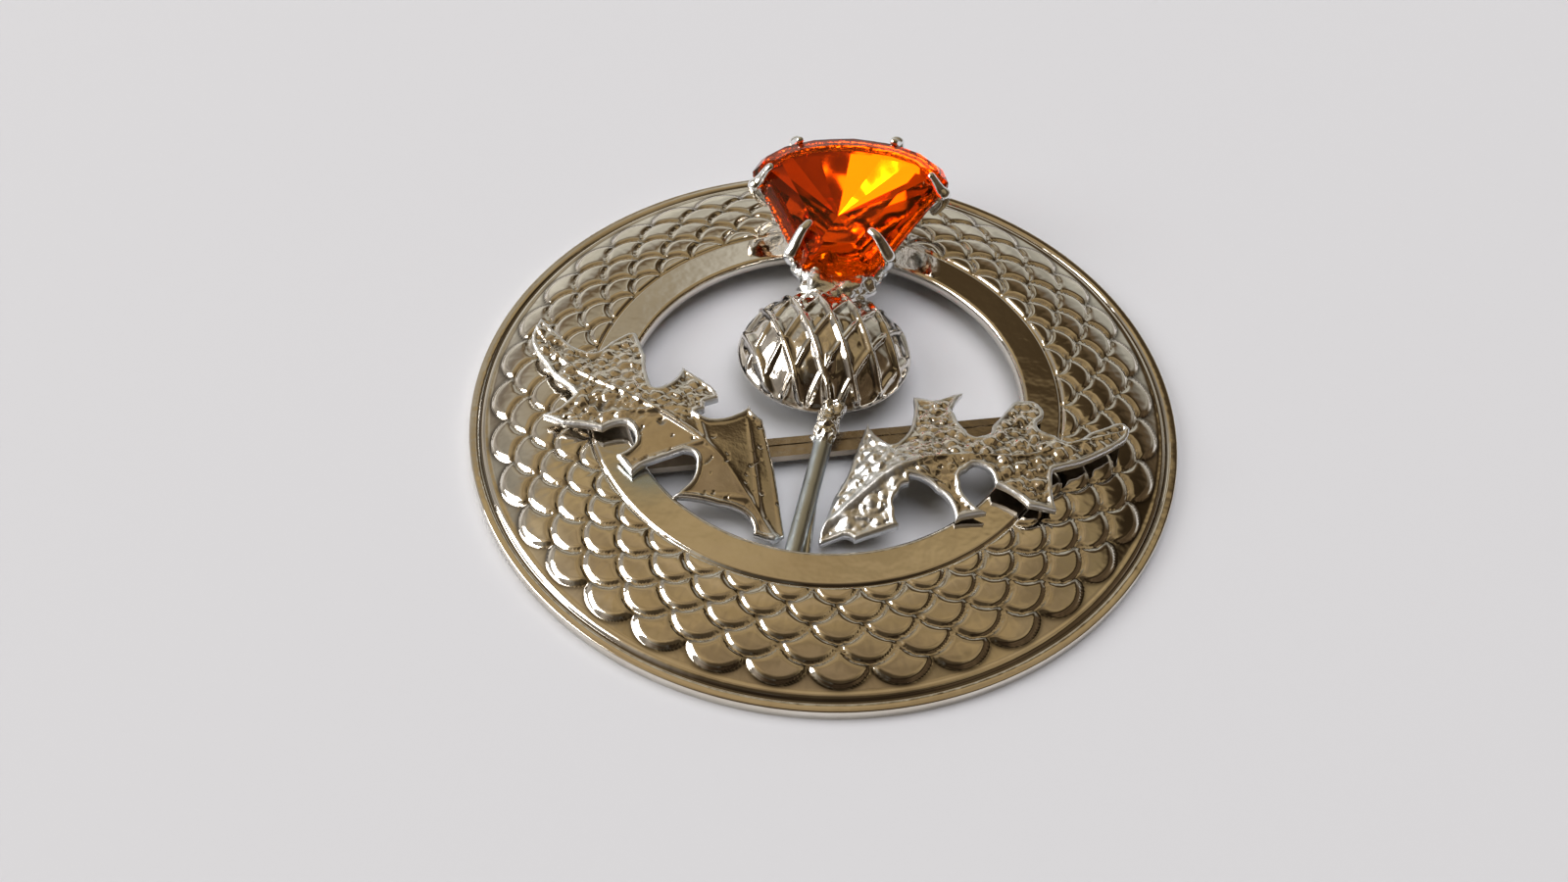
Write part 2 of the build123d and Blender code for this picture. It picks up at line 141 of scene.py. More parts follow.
def placed_mesh(name, corners, faces, materials, marks):
    """Put corners in millimetres and their faces into a smooth mesh, with a value for each corner
    under each mark's name, and let it ride on the body."""
    mesh = bpy.data.meshes.new(name)
    mesh.from_pydata((corners * MM).tolist(), [], faces)
    mesh.polygons.foreach_set("use_smooth", np.ones(len(mesh.polygons), bool))
    for label, values in marks.items():
        layer = mesh.attributes.new(label, "FLOAT", "POINT")
        layer.data.foreach_set("value", values.astype(np.float32))
    for material in materials:
        mesh.materials.append(material)
    mesh.update()
    piece = bpy.data.objects.new(name, mesh)
    bpy.context.scene.collection.objects.link(piece)
    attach(piece, "root")
    return piece


def surface(name, points, materials, ring=False, close_start=False, close_end=False, marks=None):
    """Mesh a grid of points in millimetres. Each row of points runs round the piece and closes on
    itself, a ring's rows close on each other too, and an open end may be closed at its middle."""
    rows, columns = points.shape[:2]
    index = np.arange(rows * columns).reshape(rows, columns)
    index = np.hstack([index, index[:, :1]])
    if ring:
        index = np.vstack([index, index[:1]])
    quads = np.stack([index[:-1, :-1], index[:-1, 1:], index[1:, 1:], index[1:, :-1]], -1)
    faces = quads.reshape(-1, 4).tolist()
    corners = points.reshape(-1, 3)
    for wanted, row, order in ((close_start, 0, -1), (close_end, rows - 1, 1)):
        if wanted:
            middle = len(corners)
            corners = np.vstack([corners, points[row].mean(0)])
            edge = index[row][::order]
            faces += [(a, b, middle) for a, b in zip(edge[:-1].tolist(), edge[1:].tolist())]
    values = {label: np.resize(grid.reshape(-1), len(corners)) for label, grid in (marks or {}).items()}
    return placed_mesh(name, corners, faces, materials, values)


def dome_height(radius):
    """Height of the domed face: an arc of a circle from the crest down to the margin, whose middle
    stands proud of its chord by the dome's bulge."""
    width, fall = DOME_RADIUS - CREST_RADIUS, DOME_HEIGHT - RIM_HEIGHT
    arc = (width**2 + fall**2) / (8 * DOME_BULGE) + DOME_BULGE / 2
    tilt = math.atan2(fall, width)
    middle = (CREST_RADIUS + DOME_RADIUS) / 2 - (arc - DOME_BULGE) * math.sin(tilt)
    base = (DOME_HEIGHT + RIM_HEIGHT) / 2 - (arc - DOME_BULGE) * math.cos(tilt)
    return base + np.sqrt(arc**2 - (radius - middle) ** 2)


def scale_relief(radius, angle):
    """Relief of the fish scales and how deep in a crease each point lies. A row's edge is the arc
    (1 - u^2)^0.6 over one pitch. A scale falls to its edge as 1 - (1 - d/w)^2, d measured square to
    the arc, and dips more narrowly to the row above that covers its root."""
    pitch = 2 * math.pi / SCALES
    edges, runs = [], []
    for row in range(SCALE_ROWS):
        turn = (angle - SCALE_START + pitch / 2 * (row % 2)) / pitch
        across = 2 * (turn - np.round(turn))
        left = np.clip(1 - across**2, 0.004, 1)
        edges.append(FIRST_TOP + SCALE_STEP * (row - 1 + left**EDGE_POWER))
        slope = 2 * EDGE_POWER * np.abs(across) * left ** (EDGE_POWER - 1)
        runs.append(SCALE_STEP * slope / (pitch / 2 * radius))
    edges, runs = np.stack(edges), np.stack(runs)
    place = (edges <= radius).sum(0)
    outer = np.clip(place, 0, SCALE_ROWS - 1)[None]
    inner = np.clip(place - 1, 0, SCALE_ROWS - 1)[None]
    to_edge = np.take_along_axis(edges, outer, 0)[0] - radius
    to_edge /= np.hypot(1, np.take_along_axis(runs, outer, 0)[0])
    root = radius - np.take_along_axis(edges, inner, 0)[0]
    root /= np.hypot(1, np.take_along_axis(runs, inner, 0)[0])
    root = np.where(place == 0, radius - CREST_RADIUS + 0.2, root)
    fall = 1 - (1 - np.clip(to_edge / SCALE_FALL, 0, 1)) ** 2
    dip = 1 - (1 - np.clip(root / SCALE_DIP, 0, 1)) ** 2
    ahead, back = np.clip(to_edge, 0, 3), np.clip(root, 0, 3)
    swell = ahead * back / (0.3 + ahead + back)
    relief = SCALE_RISE * fall * (1 - SCALE_DIP_SHARE * (1 - dip)) + SCALE_SWELL * swell
    # Painted shade: the colour darkens at each scale's root, under the row above
    crease_shade = np.exp(-((root / CREASE_WIDTH) ** 2)) * (place > 0) * np.clip(1.4 - to_edge, 0.35, 1)
    return np.where(place == SCALE_ROWS, 0, relief), crease_shade


def ring_section():
    """The ring's section as radii and heights, with its domed face marked: the edge rolls up from
    the bore as (1 - (1 - s)^3)^(1/3), the band steps down to the dome, a bell-shaped swell runs
    round its foot and a bell-shaped groove outside that, the lip is a quarter round, and the sheet
    returns below."""
    roll = np.linspace(BORE_RADIUS, ROLL_RADIUS, 9)
    band = np.linspace(ROLL_RADIUS + 0.2, BAND_RADIUS - 0.15, 5)
    step = np.linspace(BAND_RADIUS - 0.08, CREST_RADIUS - 0.02, 8)
    dome = np.linspace(CREST_RADIUS + 0.04, DOME_RADIUS, 79)
    radius = np.concatenate([roll, band, step, dome, MARGIN])
    share = np.clip((radius - BORE_RADIUS) / (ROLL_RADIUS - BORE_RADIUS), 0, 1)
    height = EDGE_HEIGHT + (BAND_HEIGHT - EDGE_HEIGHT) * (1 - (1 - share) ** 3) ** (1 / 3)
    drop = smooth_step((radius - BAND_RADIUS) / (CREST_RADIUS - BAND_RADIUS))
    height += (dome_height(CREST_RADIUS) - BAND_HEIGHT) * drop
    face = (radius > CREST_RADIUS) & (radius <= DOME_RADIUS)
    height[face] = dome_height(radius[face])
    height[radius > DOME_RADIUS] = RIM_HEIGHT
    height += SWELL_HEIGHT * np.exp(-(((radius - SWELL_RADIUS) / SWELL_WIDTH) ** 2))
    height -= GROOVE_DEPTH * np.exp(-(((radius - GROOVE_RADIUS) / GROOVE_WIDTH) ** 2))
    over = np.clip(radius - (RING_RADIUS - LIP_ROUND), 0, LIP_ROUND)
    height -= LIP_ROUND - np.sqrt(LIP_ROUND**2 - over**2)
    below = np.array([
        (RING_RADIUS, RIM_HEIGHT - LIP_ROUND), (RING_RADIUS, 0.04), (RING_RADIUS - 0.04, 0),
        (RING_RADIUS - RIM_WIDTH + 0.05, 0), (RING_RADIUS - RIM_WIDTH, 0.05),
        *UNDERSIDE,
        (18.0, BAND_UNDER), (16.62, BAND_UNDER), (15.75, EDGE_HEIGHT - 0.2),
    ])
    marked = np.concatenate([face, np.zeros(len(below), bool)])
    return np.concatenate([radius, below[:, 0]]), np.concatenate([height, below[:, 1]]), marked


def plated(name, bright, dull, roughness, cloud_mm, ripple_mm, ripple_rise, crease_shade=None, solder_and_highlight=None):
    """Bright plating over brass or white metal: a mirror with a warm grey tint. Handling leaves
    faint cloudy patches, the polished metal below is slightly wavy, creases are darkened as painted
    shade, and a film of solder makes it paler and duller. On the leaves that pale film is partly a
    painted highlight."""
    material = bpy.data.materials.new(name)
    material.use_nodes = True
    tree = material.node_tree
    shader = tree.nodes["Principled BSDF"]
    place = add(tree, "ShaderNodeTexCoord").outputs["Object"]
    cloud = add(tree, "ShaderNodeTexNoise",
                {"Vector": place, "Scale": 1 / (cloud_mm * MM), "Detail": 4.0, "Roughness": 0.6})
    tint = add(tree, "ShaderNodeValToRGB", {"Fac": cloud.outputs["Fac"]},
               stops=((0.35, bright), (0.75, dull)))
    colour = tint.outputs["Color"]
    # In creases the colour darkens towards a brown: painted shade
    if crease_shade:
        mark = add(tree, "ShaderNodeAttribute", attribute_name="crease_shade")
        share = add(tree, "ShaderNodeMath", {0: mark.outputs["Fac"], 1: CREASE_SHADE_SHARE}, operation="MULTIPLY")
        mixed = add(tree, "ShaderNodeMix", {"Factor": share.outputs[0], "A": colour, "B": linear(crease_shade)},
                    data_type="RGBA")
        colour = mixed.outputs["Result"]
    haze = add(tree, "ShaderNodeMapRange",
               {"Value": cloud.outputs["Fac"], "From Min": 0.3, "From Max": 0.8,
                "To Min": roughness, "To Max": roughness * HAZE_GAIN})
    dulled = haze.outputs["Result"]
    # A pale film of solder; on the leaves it is partly a painted highlight
    if solder_and_highlight:
        mark = add(tree, "ShaderNodeAttribute", attribute_name="solder_and_highlight")
        film = mark.outputs["Fac"]
        mixed = add(tree, "ShaderNodeMix", {"Factor": film, "A": colour, "B": linear(solder_and_highlight)},
                    data_type="RGBA")
        colour = mixed.outputs["Result"]
        share = add(tree, "ShaderNodeMath", {0: film, 1: SOLDER_DULLING, 2: dulled},
                    operation="MULTIPLY_ADD")
        dulled = share.outputs[0]
    tree.links.new(dulled, shader.inputs["Roughness"])
    tree.links.new(colour, shader.inputs["Base Color"])
    wave = add(tree, "ShaderNodeTexNoise",
               {"Vector": place, "Scale": 1 / (ripple_mm * MM), "Detail": 2.0, "Roughness": 0.5})
    bump = add(tree, "ShaderNodeBump",
               {"Height": wave.outputs["Fac"], "Distance": ripple_rise * MM, "Strength": 1.0})
    tree.links.new(bump.outputs["Normal"], shader.inputs["Normal"])
    shader.inputs["Metallic"].default_value = 1.0
    return material


# Bright plated brass: a clear mirror, with painted brown shade in its creases and groove, and a pale stain
# of solder
stamped = plated("plated_stamped_brass", "#E6E0D6", "#D6CDBF", roughness=0.035, cloud_mm=5.0,
                 ripple_mm=1.6, ripple_rise=0.03, crease_shade="#33271C", solder_and_highlight="#B9C3C6")
radii, heights, on_face = ring_section()
turns = np.arange(AROUND) * 2 * math.pi / AROUND
radius_grid, turn_grid = np.meshgrid(radii, turns, indexing="ij")
relief, crease_shade = scale_relief(radius_grid, turn_grid)
fade = smooth_step((DOME_RADIUS - radius_grid) / SCALE_FADE)
relief = np.where(on_face[:, None], relief * fade, 0)
crease_shade = np.where(on_face[:, None], crease_shade, 0)
# Painted shade in the groove of the margin
in_groove = np.exp(-(((radius_grid - GROOVE_RADIUS) / 0.1) ** 2))
crease_shade += in_groove * (heights > RIM_HEIGHT / 2)[:, None]
ring_points = np.stack([
    radius_grid * np.cos(turn_grid),
    radius_grid * np.sin(turn_grid),
    heights[:, None] + relief,
], -1)
spill = np.hypot(ring_points[..., 0] - SPILL[0], ring_points[..., 1] - SPILL[1])
cloudy = 0.4 + 1.2 * value_noise(*ring_points.transpose(2, 0, 1), SPILL_BLOTCH, 3)
ring = surface("ring_plate", ring_points, [stamped], ring=True,
               marks={"crease_shade": crease_shade, "solder_and_highlight": cloudy * np.exp(-((spill / SPILL_REACH) ** 2))})
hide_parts("ring")

# The back bar: a grooved strip of the same sheet, soldered under the ring's band. The wire pin and
# its two blocks hang below it. Both keep their CAD shape, in duller plating than the face.
for node in ("back_bar", "pin"):
    strip = plated("plated_strip_" + node, "#B4A898", "#94887A", roughness=0.16, cloud_mm=3.0,
                   ripple_mm=0.9, ripple_rise=0.03)
    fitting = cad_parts[node]
    fitting.data.materials.clear()
    fitting.data.materials.append(strip)

# The stem: a cast rod of white metal with a thin second stalk beside it. Its foot is tucked under
# the band, and a rough knobbly collar with a run of solder takes it up onto the bulb.
STEM_BASE = np.array([-0.86, -16.2, 0.73])
STEM_TOP = np.array([0.8, -2.25, 2.98])
STEM_RADIUS = 0.7
COLLAR_RADIUS = 0.9
COLLAR_LENGTH = 3.4
STEM_INTO_BULB = 0.3
STALK_BASE = np.array([0.24, -15.5, 0.73])
STALK_TOP = np.array([0.36, -5.4, 2.42])
STALK_RADIUS = 0.25
BAND_UNDERSIDE = 1.43
SEAT_GAP = 0.07
STEM_STEPS = 200
STEM_LENGTH = np.linalg.norm(STEM_TOP - STEM_BASE)
# Solder on the collar: the rise and the size of its lumps and of its finer grain
LUMP_RISE = 0.55
LUMP_SIZE = 1.5
FINE_RISE = 0.3
FINE_SIZE = 0.8
# How uneven the plain rod is, as a share of its radius, and over what length
WANDER_SHARE = 0.05
WANDER_SIZE = 2.5
# The share of the stem's length at which the film of solder on its shaft ends
FILM_END = 0.8


def rod(start, end, radius_at, steps, sides):
    """Points of a rod: at each share along it, a circle of the given radius square to its line."""
    line = (end - start) / np.linalg.norm(end - start)
    across = np.cross(line, (0, 0, 1.0))
    across /= np.linalg.norm(across)
    up = np.cross(across, line)
    share = np.linspace(0, 1, steps)
    turn = np.arange(sides) * 2 * math.pi / sides
    share_grid, turn_grid = np.meshgrid(share, turn, indexing="ij")
    middle = start + (end - start) * share_grid[..., None]
    radius = radius_at(share_grid, turn_grid)[..., None]
    return middle + radius * (np.cos(turn_grid)[..., None] * across + np.sin(turn_grid)[..., None] * up)


def stem_radius(share, turn):
    """The rod's radius, a little uneven; it eases over 1 mm into the collar, which is thicker and
    adds two sizes of noise for its lumps of solder."""
    along = share * STEM_LENGTH
    collar = smooth_step(along - STEM_LENGTH + COLLAR_LENGTH + 0.5)
    lump = value_noise(3 * np.cos(turn), 3 * np.sin(turn), along * 2.6, LUMP_SIZE, 5) - 0.5
    fine = value_noise(4 * np.cos(turn), 4 * np.sin(turn), along * 3, FINE_SIZE, 6) - 0.5
    wander = value_noise(np.cos(turn), np.sin(turn), along, WANDER_SIZE, 7) - 0.5
    swollen = COLLAR_RADIUS - STEM_RADIUS + LUMP_RISE * lump + FINE_RISE * fine
    return STEM_RADIUS * (1 + WANDER_SHARE * wander) + collar * swollen


def stalk_radius(share, turn):
    """The stalk's radius, the same all the way but for its tip, which falls off in a straight taper."""
    return STALK_RADIUS * np.minimum(1, 12 * (1.02 - share))


# Plated rod: a soft mirror, with a blue-grey film of solder along its shaft
rod_metal = plated("plated_rod", "#ECEAE6", "#D6D2CA", roughness=0.07, cloud_mm=2.2,
                   ripple_mm=0.9, ripple_rise=0.05, solder_and_highlight="#BFC8CD")
stem_line = (STEM_TOP - STEM_BASE) / STEM_LENGTH
stem_points = rod(STEM_BASE, STEM_TOP + stem_line * STEM_INTO_BULB, stem_radius, STEM_STEPS, 48)
under_band = np.hypot(stem_points[..., 0], stem_points[..., 1]) > BORE_RADIUS - SEAT_GAP
lowered = np.minimum(stem_points[..., 2], BAND_UNDERSIDE)
stem_points[..., 2] = np.where(under_band, lowered, stem_points[..., 2])
film = smooth_step((FILM_END - np.linspace(0, 1, STEM_STEPS)) / 0.08)
film = np.broadcast_to(film[:, None], stem_points.shape[:2])
stem = surface("stem_rod", stem_points, [rod_metal], close_start=True, close_end=True,
               marks={"solder_and_highlight": film})
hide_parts("stem")
stalk_points = rod(STALK_BASE, STALK_TOP, stalk_radius, 60, 20)
stalk = surface("stem_stalk", stalk_points, [rod_metal], close_start=True, close_end=True,
                marks={"solder_and_highlight": np.full(stalk_points.shape[:2], 0.6)})
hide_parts("stem")

# The thistle's bulb: a hollow oval cap cast in white metal, with a raised net of slanting ribs on
# its face and a plain narrow rim. It is soldered to the stem below and to the setting above.
BULB_CENTRE = (-0.45, 4.0)
BULB_HALF_WIDTH = 6.75
BULB_HALF_LENGTH = 6.25
BULB_FLOOR = 2.3
BULB_RISE = 4.0
BULB_WALL = 0.6
NET_PITCH = 2.2
# The net's two families of ribs: where one crosses the middle, its slant, its width and its rise
NET_RIBS = ((0.5, -0.46, 0.25, 0.36), (0.1, 0.50, 0.19, 0.26))
# The plain rim starts at this share of the way out from the middle
RIM_FROM = 0.94
RIM_RISE = 0.16
CELL_PUFF = 0.08
UNEVEN_RISE = 0.13
UNEVEN_SIZE = 1.1
# Painted shade lies beside the ribs, at this distance from their middle
RIB_SHADE_PLACE = 0.3
RIB_SHADE_WIDTH = 0.1
# The seam of solder that runs up from the stem: its place, its lean, its width and its rise
SEAM_PLACE = 0.9
SEAM_LEAN = 0.12
SEAM_WIDTH = 0.62
SEAM_RISE = 0.42
SEAM_LUMP_SIZE = 0.55
BULB_AROUND = 384
BULB_STEPS = 110


def bulb_face(share, turn):
    """The oval cap at a share of the way from its middle to its rim: a cap of a sphere of 7.7 mm,
    narrowed along its length. Its relief is the higher of two families of bell-shaped ribs on
    slanting lines, with cells puffed up between them, a lumpy seam and a plain rim."""
    sphere = (BULB_HALF_WIDTH**2 + BULB_RISE**2) / (2 * BULB_RISE)
    x = BULB_HALF_WIDTH * share * np.cos(turn)
    y = BULB_HALF_LENGTH * share * np.sin(turn)
    flat = BULB_HALF_WIDTH * share
    height = BULB_FLOOR + BULB_RISE - sphere + np.sqrt(sphere**2 - flat**2)
    reach, lift = [], 0
    for start, slant, width, rise in NET_RIBS:
        offset = (x - start - slant * y) / NET_PITCH
        reach.append(np.abs(offset - np.round(offset)) * NET_PITCH * math.cos(math.atan(slant)))
        lift = np.maximum(lift, rise * np.exp(-((reach[-1] / width) ** 2)))
    edge = smooth_step((share - RIM_FROM) / 0.04)
    puff = CELL_PUFF * np.sqrt(np.clip(reach[0] * reach[1], 0, 1))
    lift = (lift + puff) * (1 - edge) + RIM_RISE * edge
    seam = np.clip(1 - np.abs(x - SEAM_PLACE + SEAM_LEAN * (y + BULB_HALF_LENGTH)) / SEAM_WIDTH, 0, 1)
    seam = seam * smooth_step((-1.6 - y) / 2.2)
    lumps = 0.55 + 0.9 * (value_noise(x, y, x * 0, SEAM_LUMP_SIZE, 9) - 0.5)
    uneven = (value_noise(x, y, x * 0 + 5, UNEVEN_SIZE, 12)
              + 0.5 * value_noise(x, y, x * 0 + 9, UNEVEN_SIZE / 2, 13) - 0.75)
    lift = lift + SEAM_RISE * smooth_step(seam) * lumps + UNEVEN_RISE * uneven * (1 - edge)
    out = np.stack([x / BULB_HALF_WIDTH**2, y / BULB_HALF_LENGTH**2,
                    np.full_like(x, 1.25 / sphere) * np.sqrt(1 - (share * 0.85) ** 2)], -1)
    out /= np.linalg.norm(out, axis=-1, keepdims=True)
    points = np.stack([x + BULB_CENTRE[0], y + BULB_CENTRE[1], height], -1)
    # Painted shade beside the ribs
    beside_rib = (np.minimum(*reach) - RIB_SHADE_PLACE) / RIB_SHADE_WIDTH
    painted_shade = 0.7 * np.exp(-(beside_rib**2)) * (1 - edge)
    return points, out, lift, painted_shade


# Plated white metal: a bright mirror, broken up by the net, with painted brown shade beside its ribs and
# inside the cap
cast = plated("plated_cast_white_metal", "#E6E1D9", "#D2CABE", roughness=0.05, cloud_mm=4.0,
              ripple_mm=0.9, ripple_rise=0.03, crease_shade="#4E443A")
turns = np.arange(BULB_AROUND) * 2 * math.pi / BULB_AROUND
outer_shares = np.linspace(1, 0.012, BULB_STEPS) ** 0.9
points, out, lift, painted_shade = bulb_face(*np.meshgrid(outer_shares, turns, indexing="ij"))
outside = points + out * lift[..., None]
outside[..., 2] = np.maximum(outside[..., 2], BULB_FLOOR)
outside = outside[::-1]
painted_shade = painted_shade[::-1]
inner_shares = np.linspace(0.985, 0.02, 16)
points, out, _, _ = bulb_face(*np.meshgrid(inner_shares, turns, indexing="ij"))
inside = points - out * BULB_WALL
inside[..., 2] = np.maximum(inside[..., 2], BULB_FLOOR)
bulb_points = np.concatenate([outside, inside])[::-1]
# The inside of the cap is darkened as painted shade
bulb_marks = np.concatenate([painted_shade, np.full(inside.shape[:2], 0.9)])[::-1]
bulb = surface("bulb_cap", bulb_points, [cast], close_start=True, close_end=True,
               marks={"crease_shade": bulb_marks})
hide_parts("bulb")

# The leaves: two thin castings with lobed edges that end in a bead, a raised midrib and side veins,
# and a face of round bumps and small pits. Each starts in the opening beside the stem's foot, rises
# over the band and lies on the scales. A pale film of solder lies at its foot, partly a painted
# highlight on the midrib and lobe there, and a painted highlight runs along its bead.
LEAF_THICKNESS = 0.4
LEAF_SEAT = 1.15
LEAF_RISE = 2.95
LEAF_BASE_Y = -14.4
# The midrib's width at the foot and how much of it is gone towards the tip
VEIN_WIDTH = 0.6
VEIN_TAPER = 0.65
BEAD_WIDTH = 0.17
BEAD_RISE = 0.21
BEAD_INSET = 0.18
BEAD_REACH = 0.35
SIDE_VEIN_RISE = 0.09
SIDE_VEIN_WIDTH = 0.2
SIDE_VEIN_NARROWING = 0.08
SIDE_VEIN_FADE = 0.7
GRAIN_RISE = 0.22
BUMP_RISE = 0.32
BUMP_SIZE = 1.05
FINE_BUMP_SIZE = 0.55
PIT_DEPTH = 0.1
PIT_SIZE = 0.42
PATCH_RISE = 0.16
PATCH_SIZE = 3.2
LEAF_SPACING = 0.105
# Each spine runs through places with a share of the leaf's length along it, a share across it, a
# share of the leaf's rise, and the slopes in degrees by which its two sides fall away
LEFT_SPINE = (
    (-0.05, -0.01, 0.0, 5, 5), (0.0, -0.01, 0.0, 5, 5), (0.15, -0.035, 0.38, 8, 8),
    (0.30, -0.052, 0.78, 10, 8), (0.45, -0.032, 0.93, 9, 8), (0.60, 0.005, 0.93, 7, 8),
    (0.80, 0.05, 0.82, 6, 6), (1.05, 0.01, 0.74, 5, 5),
)
RIGHT_SPINE = (
    (-0.05, 0.045, 0.0, 5, 5), (0.0, 0.05, 0.0, 10, 5), (0.15, 0.082, 0.53, 19, 16),
    (0.28, 0.107, 0.93, 17, 18), (0.40, 0.10, 1.0, 12.5, 12), (0.52, 0.065, 0.96, 8, 7),
    (0.65, 0.01, 0.93, 7, 6), (0.80, 0.0, 0.85, 6, 6), (1.05, -0.01, 0.71, 4, 4),
)
# Each outline's corners are shares of the leaf's length along and across it, with the bow of the
# run to the next corner
LEFT_OUTLINE = (
    (0.012, -0.04, 0.0), (0.17, -0.15, 0.0), (0.305, -0.23, 0.006), (0.363, -0.233, 0.004),
    (0.36, -0.18, 0.006), (0.386, -0.113, 0.004), (0.428, -0.097, 0.0), (0.422, -0.124, 0.0),
    (0.442, -0.141, 0.0), (0.432, -0.182, -0.006), (0.49, -0.195, 0.0), (0.586, -0.186, 0.008),
    (0.557, -0.101, 0.008), (0.578, -0.066, 0.006), (0.688, -0.136, 0.0), (0.777, -0.176, -0.006),
    (0.798, -0.164, -0.004), (0.791, -0.063, 0.01), (0.815, -0.019, 0.004), (0.868, -0.001, 0.0),
    (0.998, -0.005, 0.0), (0.973, 0.038, -0.008), (0.906, 0.082, 0.0), (0.797, 0.103, 0.004),
    (0.699, 0.103, 0.008), (0.705, 0.211, 0.0), (0.644, 0.19, 0.004), (0.555, 0.125, 0.008),
    (0.523, 0.066, 0.01), (0.46, 0.091, 0.006), (0.467, 0.149, 0.0), (0.394, 0.156, 0.006),
    (0.387, 0.094, 0.0), (0.353, 0.013, 0.016), (0.30, 0.013, 0.008), (0.273, 0.072, 0.0),
    (0.273, 0.117, 0.004), (0.179, 0.039, 0.004), (0.125, 0.004, 0.01), (0.062, 0.023, 0.0),
    (0.014, -0.006, 0.0),
)
RIGHT_OUTLINE = (
    (0.016, 0.032, 0.0), (0.012, 0.018, 0.0), (0.079, 0.008, 0.004), (0.103, -0.02, 0.0),
    (0.228, -0.039, 0.006), (0.238, 0.007, 0.01), (0.265, 0.044, 0.008), (0.303, 0.054, 0.0),
    (0.313, 0.076, 0.01), (0.367, 0.008, 0.008), (0.385, -0.069, 0.0), (0.377, -0.097, 0.0),
    (0.399, -0.096, 0.0), (0.463, -0.114, 0.006), (0.434, -0.05, 0.006), (0.44, -0.001, 0.012),
    (0.474, 0.029, 0.012), (0.524, 0.023, 0.01), (0.528, -0.043, 0.008), (0.583, -0.141, 0.0),
    (0.646, -0.187, 0.006), (0.696, -0.075, 0.006), (0.723, -0.062, 0.0), (0.797, -0.066, -0.004),
    (0.966, -0.038, -0.004), (1.001, -0.003, -0.004), (0.989, 0.027, 0.0), (0.88, 0.022, 0.006),
    (0.808, 0.01, 0.008), (0.777, 0.048, 0.008), (0.747, 0.091, 0.01), (0.782, 0.128, -0.008),
    (0.80, 0.176, -0.01), (0.777, 0.211, -0.006), (0.728, 0.215, 0.0), (0.624, 0.149, 0.01),
    (0.577, 0.125, 0.014), (0.544, 0.165, 0.006), (0.55, 0.248, 0.008), (0.561, 0.272, 0.004),
    (0.618, 0.318, 0.0), (0.552, 0.32, 0.006), (0.509, 0.332, 0.0), (0.475, 0.362, 0.004),
    (0.427, 0.274, 0.008), (0.351, 0.209, 0.012), (0.317, 0.223, 0.01), (0.311, 0.334, 0.0),
    (0.202, 0.215, 0.006), (0.115, 0.14, 0.0),
)
# Side veins: from a place on the midrib to a place in a lobe, as shares of the leaf's length
LEFT_VEINS = (
    ((0.08, -0.02), (0.33, -0.20)), ((0.33, -0.05), (0.55, -0.17)), ((0.56, -0.005), (0.77, -0.14)),
    ((0.14, -0.035), (0.26, 0.09)), ((0.34, -0.045), (0.43, 0.14)), ((0.50, -0.02), (0.67, 0.18)),
)
RIGHT_VEINS = (
    ((0.06, 0.065), (0.29, 0.29)), ((0.20, 0.09), (0.47, 0.33)), ((0.36, 0.10), (0.58, 0.29)),
    ((0.08, 0.07), (0.22, -0.02)), ((0.34, 0.105), (0.44, -0.09)), ((0.52, 0.065), (0.63, -0.15)),
    ((0.54, 0.06), (0.77, 0.18)),
)


def spline(knots, values, where):
    """A smooth curve through values at knots: on each span a cubic whose end slopes are those of
    the curve's neighbours."""
    slopes = np.gradient(values, knots)
    span = np.clip(np.searchsorted(knots, where) - 1, 0, len(knots) - 2)
    width = knots[span + 1] - knots[span]
    t = (where - knots[span]) / width
    return ((2 * t**3 - 3 * t**2 + 1) * values[span] + (t**3 - 2 * t**2 + t) * width * slopes[span]
            + (3 * t**2 - 2 * t**3) * values[span + 1] + (t**3 - t**2) * width * slopes[span + 1])


def edge_points(outline, length):
    """Points about every tenth of a millimetre round a leaf's outline, each run bowed by a parabola
    of its own depth."""
    corners = np.array(outline) * length
    points = []
    for (x, y, bow), (next_x, next_y, _) in zip(corners, np.roll(corners, -1, 0)):
        run = np.array([next_x - x, next_y - y])
        reach = np.linalg.norm(run)
        t = np.linspace(0, 1, max(2, int(reach / LEAF_SPACING)), endpoint=False)[:, None]
        square = np.array([-run[1], run[0]])
        points.append(np.array([x, y]) + t * run + 4 * bow * t * (1 - t) * square / reach)
    return np.concatenate(points)


def inside_outline(points, edge):
    """Whether each point lies in a closed outline: a ray along X crosses it an odd number of times."""
    after = np.roll(edge, -1, 0)
    x, y = points[:, :1], points[:, 1:]
    spans = (edge[:, 1] > y) != (after[:, 1] > y)
    rise = np.where(after[:, 1] == edge[:, 1], 1, after[:, 1] - edge[:, 1])
    cross = edge[:, 0] + (y - edge[:, 1]) * (after[:, 0] - edge[:, 0]) / rise
    return (spans & (x < cross)).sum(1) % 2 == 1


def nearest(points, targets):
    """Distance from each point to the nearest target, a thousand points at a time."""
    parts = [np.sqrt(((block[:, None] - targets) ** 2).sum(-1).min(1))
             for block in np.array_split(points, max(1, len(points) // 1000))]
    return np.concatenate(parts)


def to_line(points, start, end):
    """Distance from each point to a straight run, and the share along it of the nearest place."""
    run = end - start
    share = np.clip(((points - start) @ run) / (run @ run), 0, 1)
    return np.linalg.norm(points - start - share[:, None] * run, axis=1), share


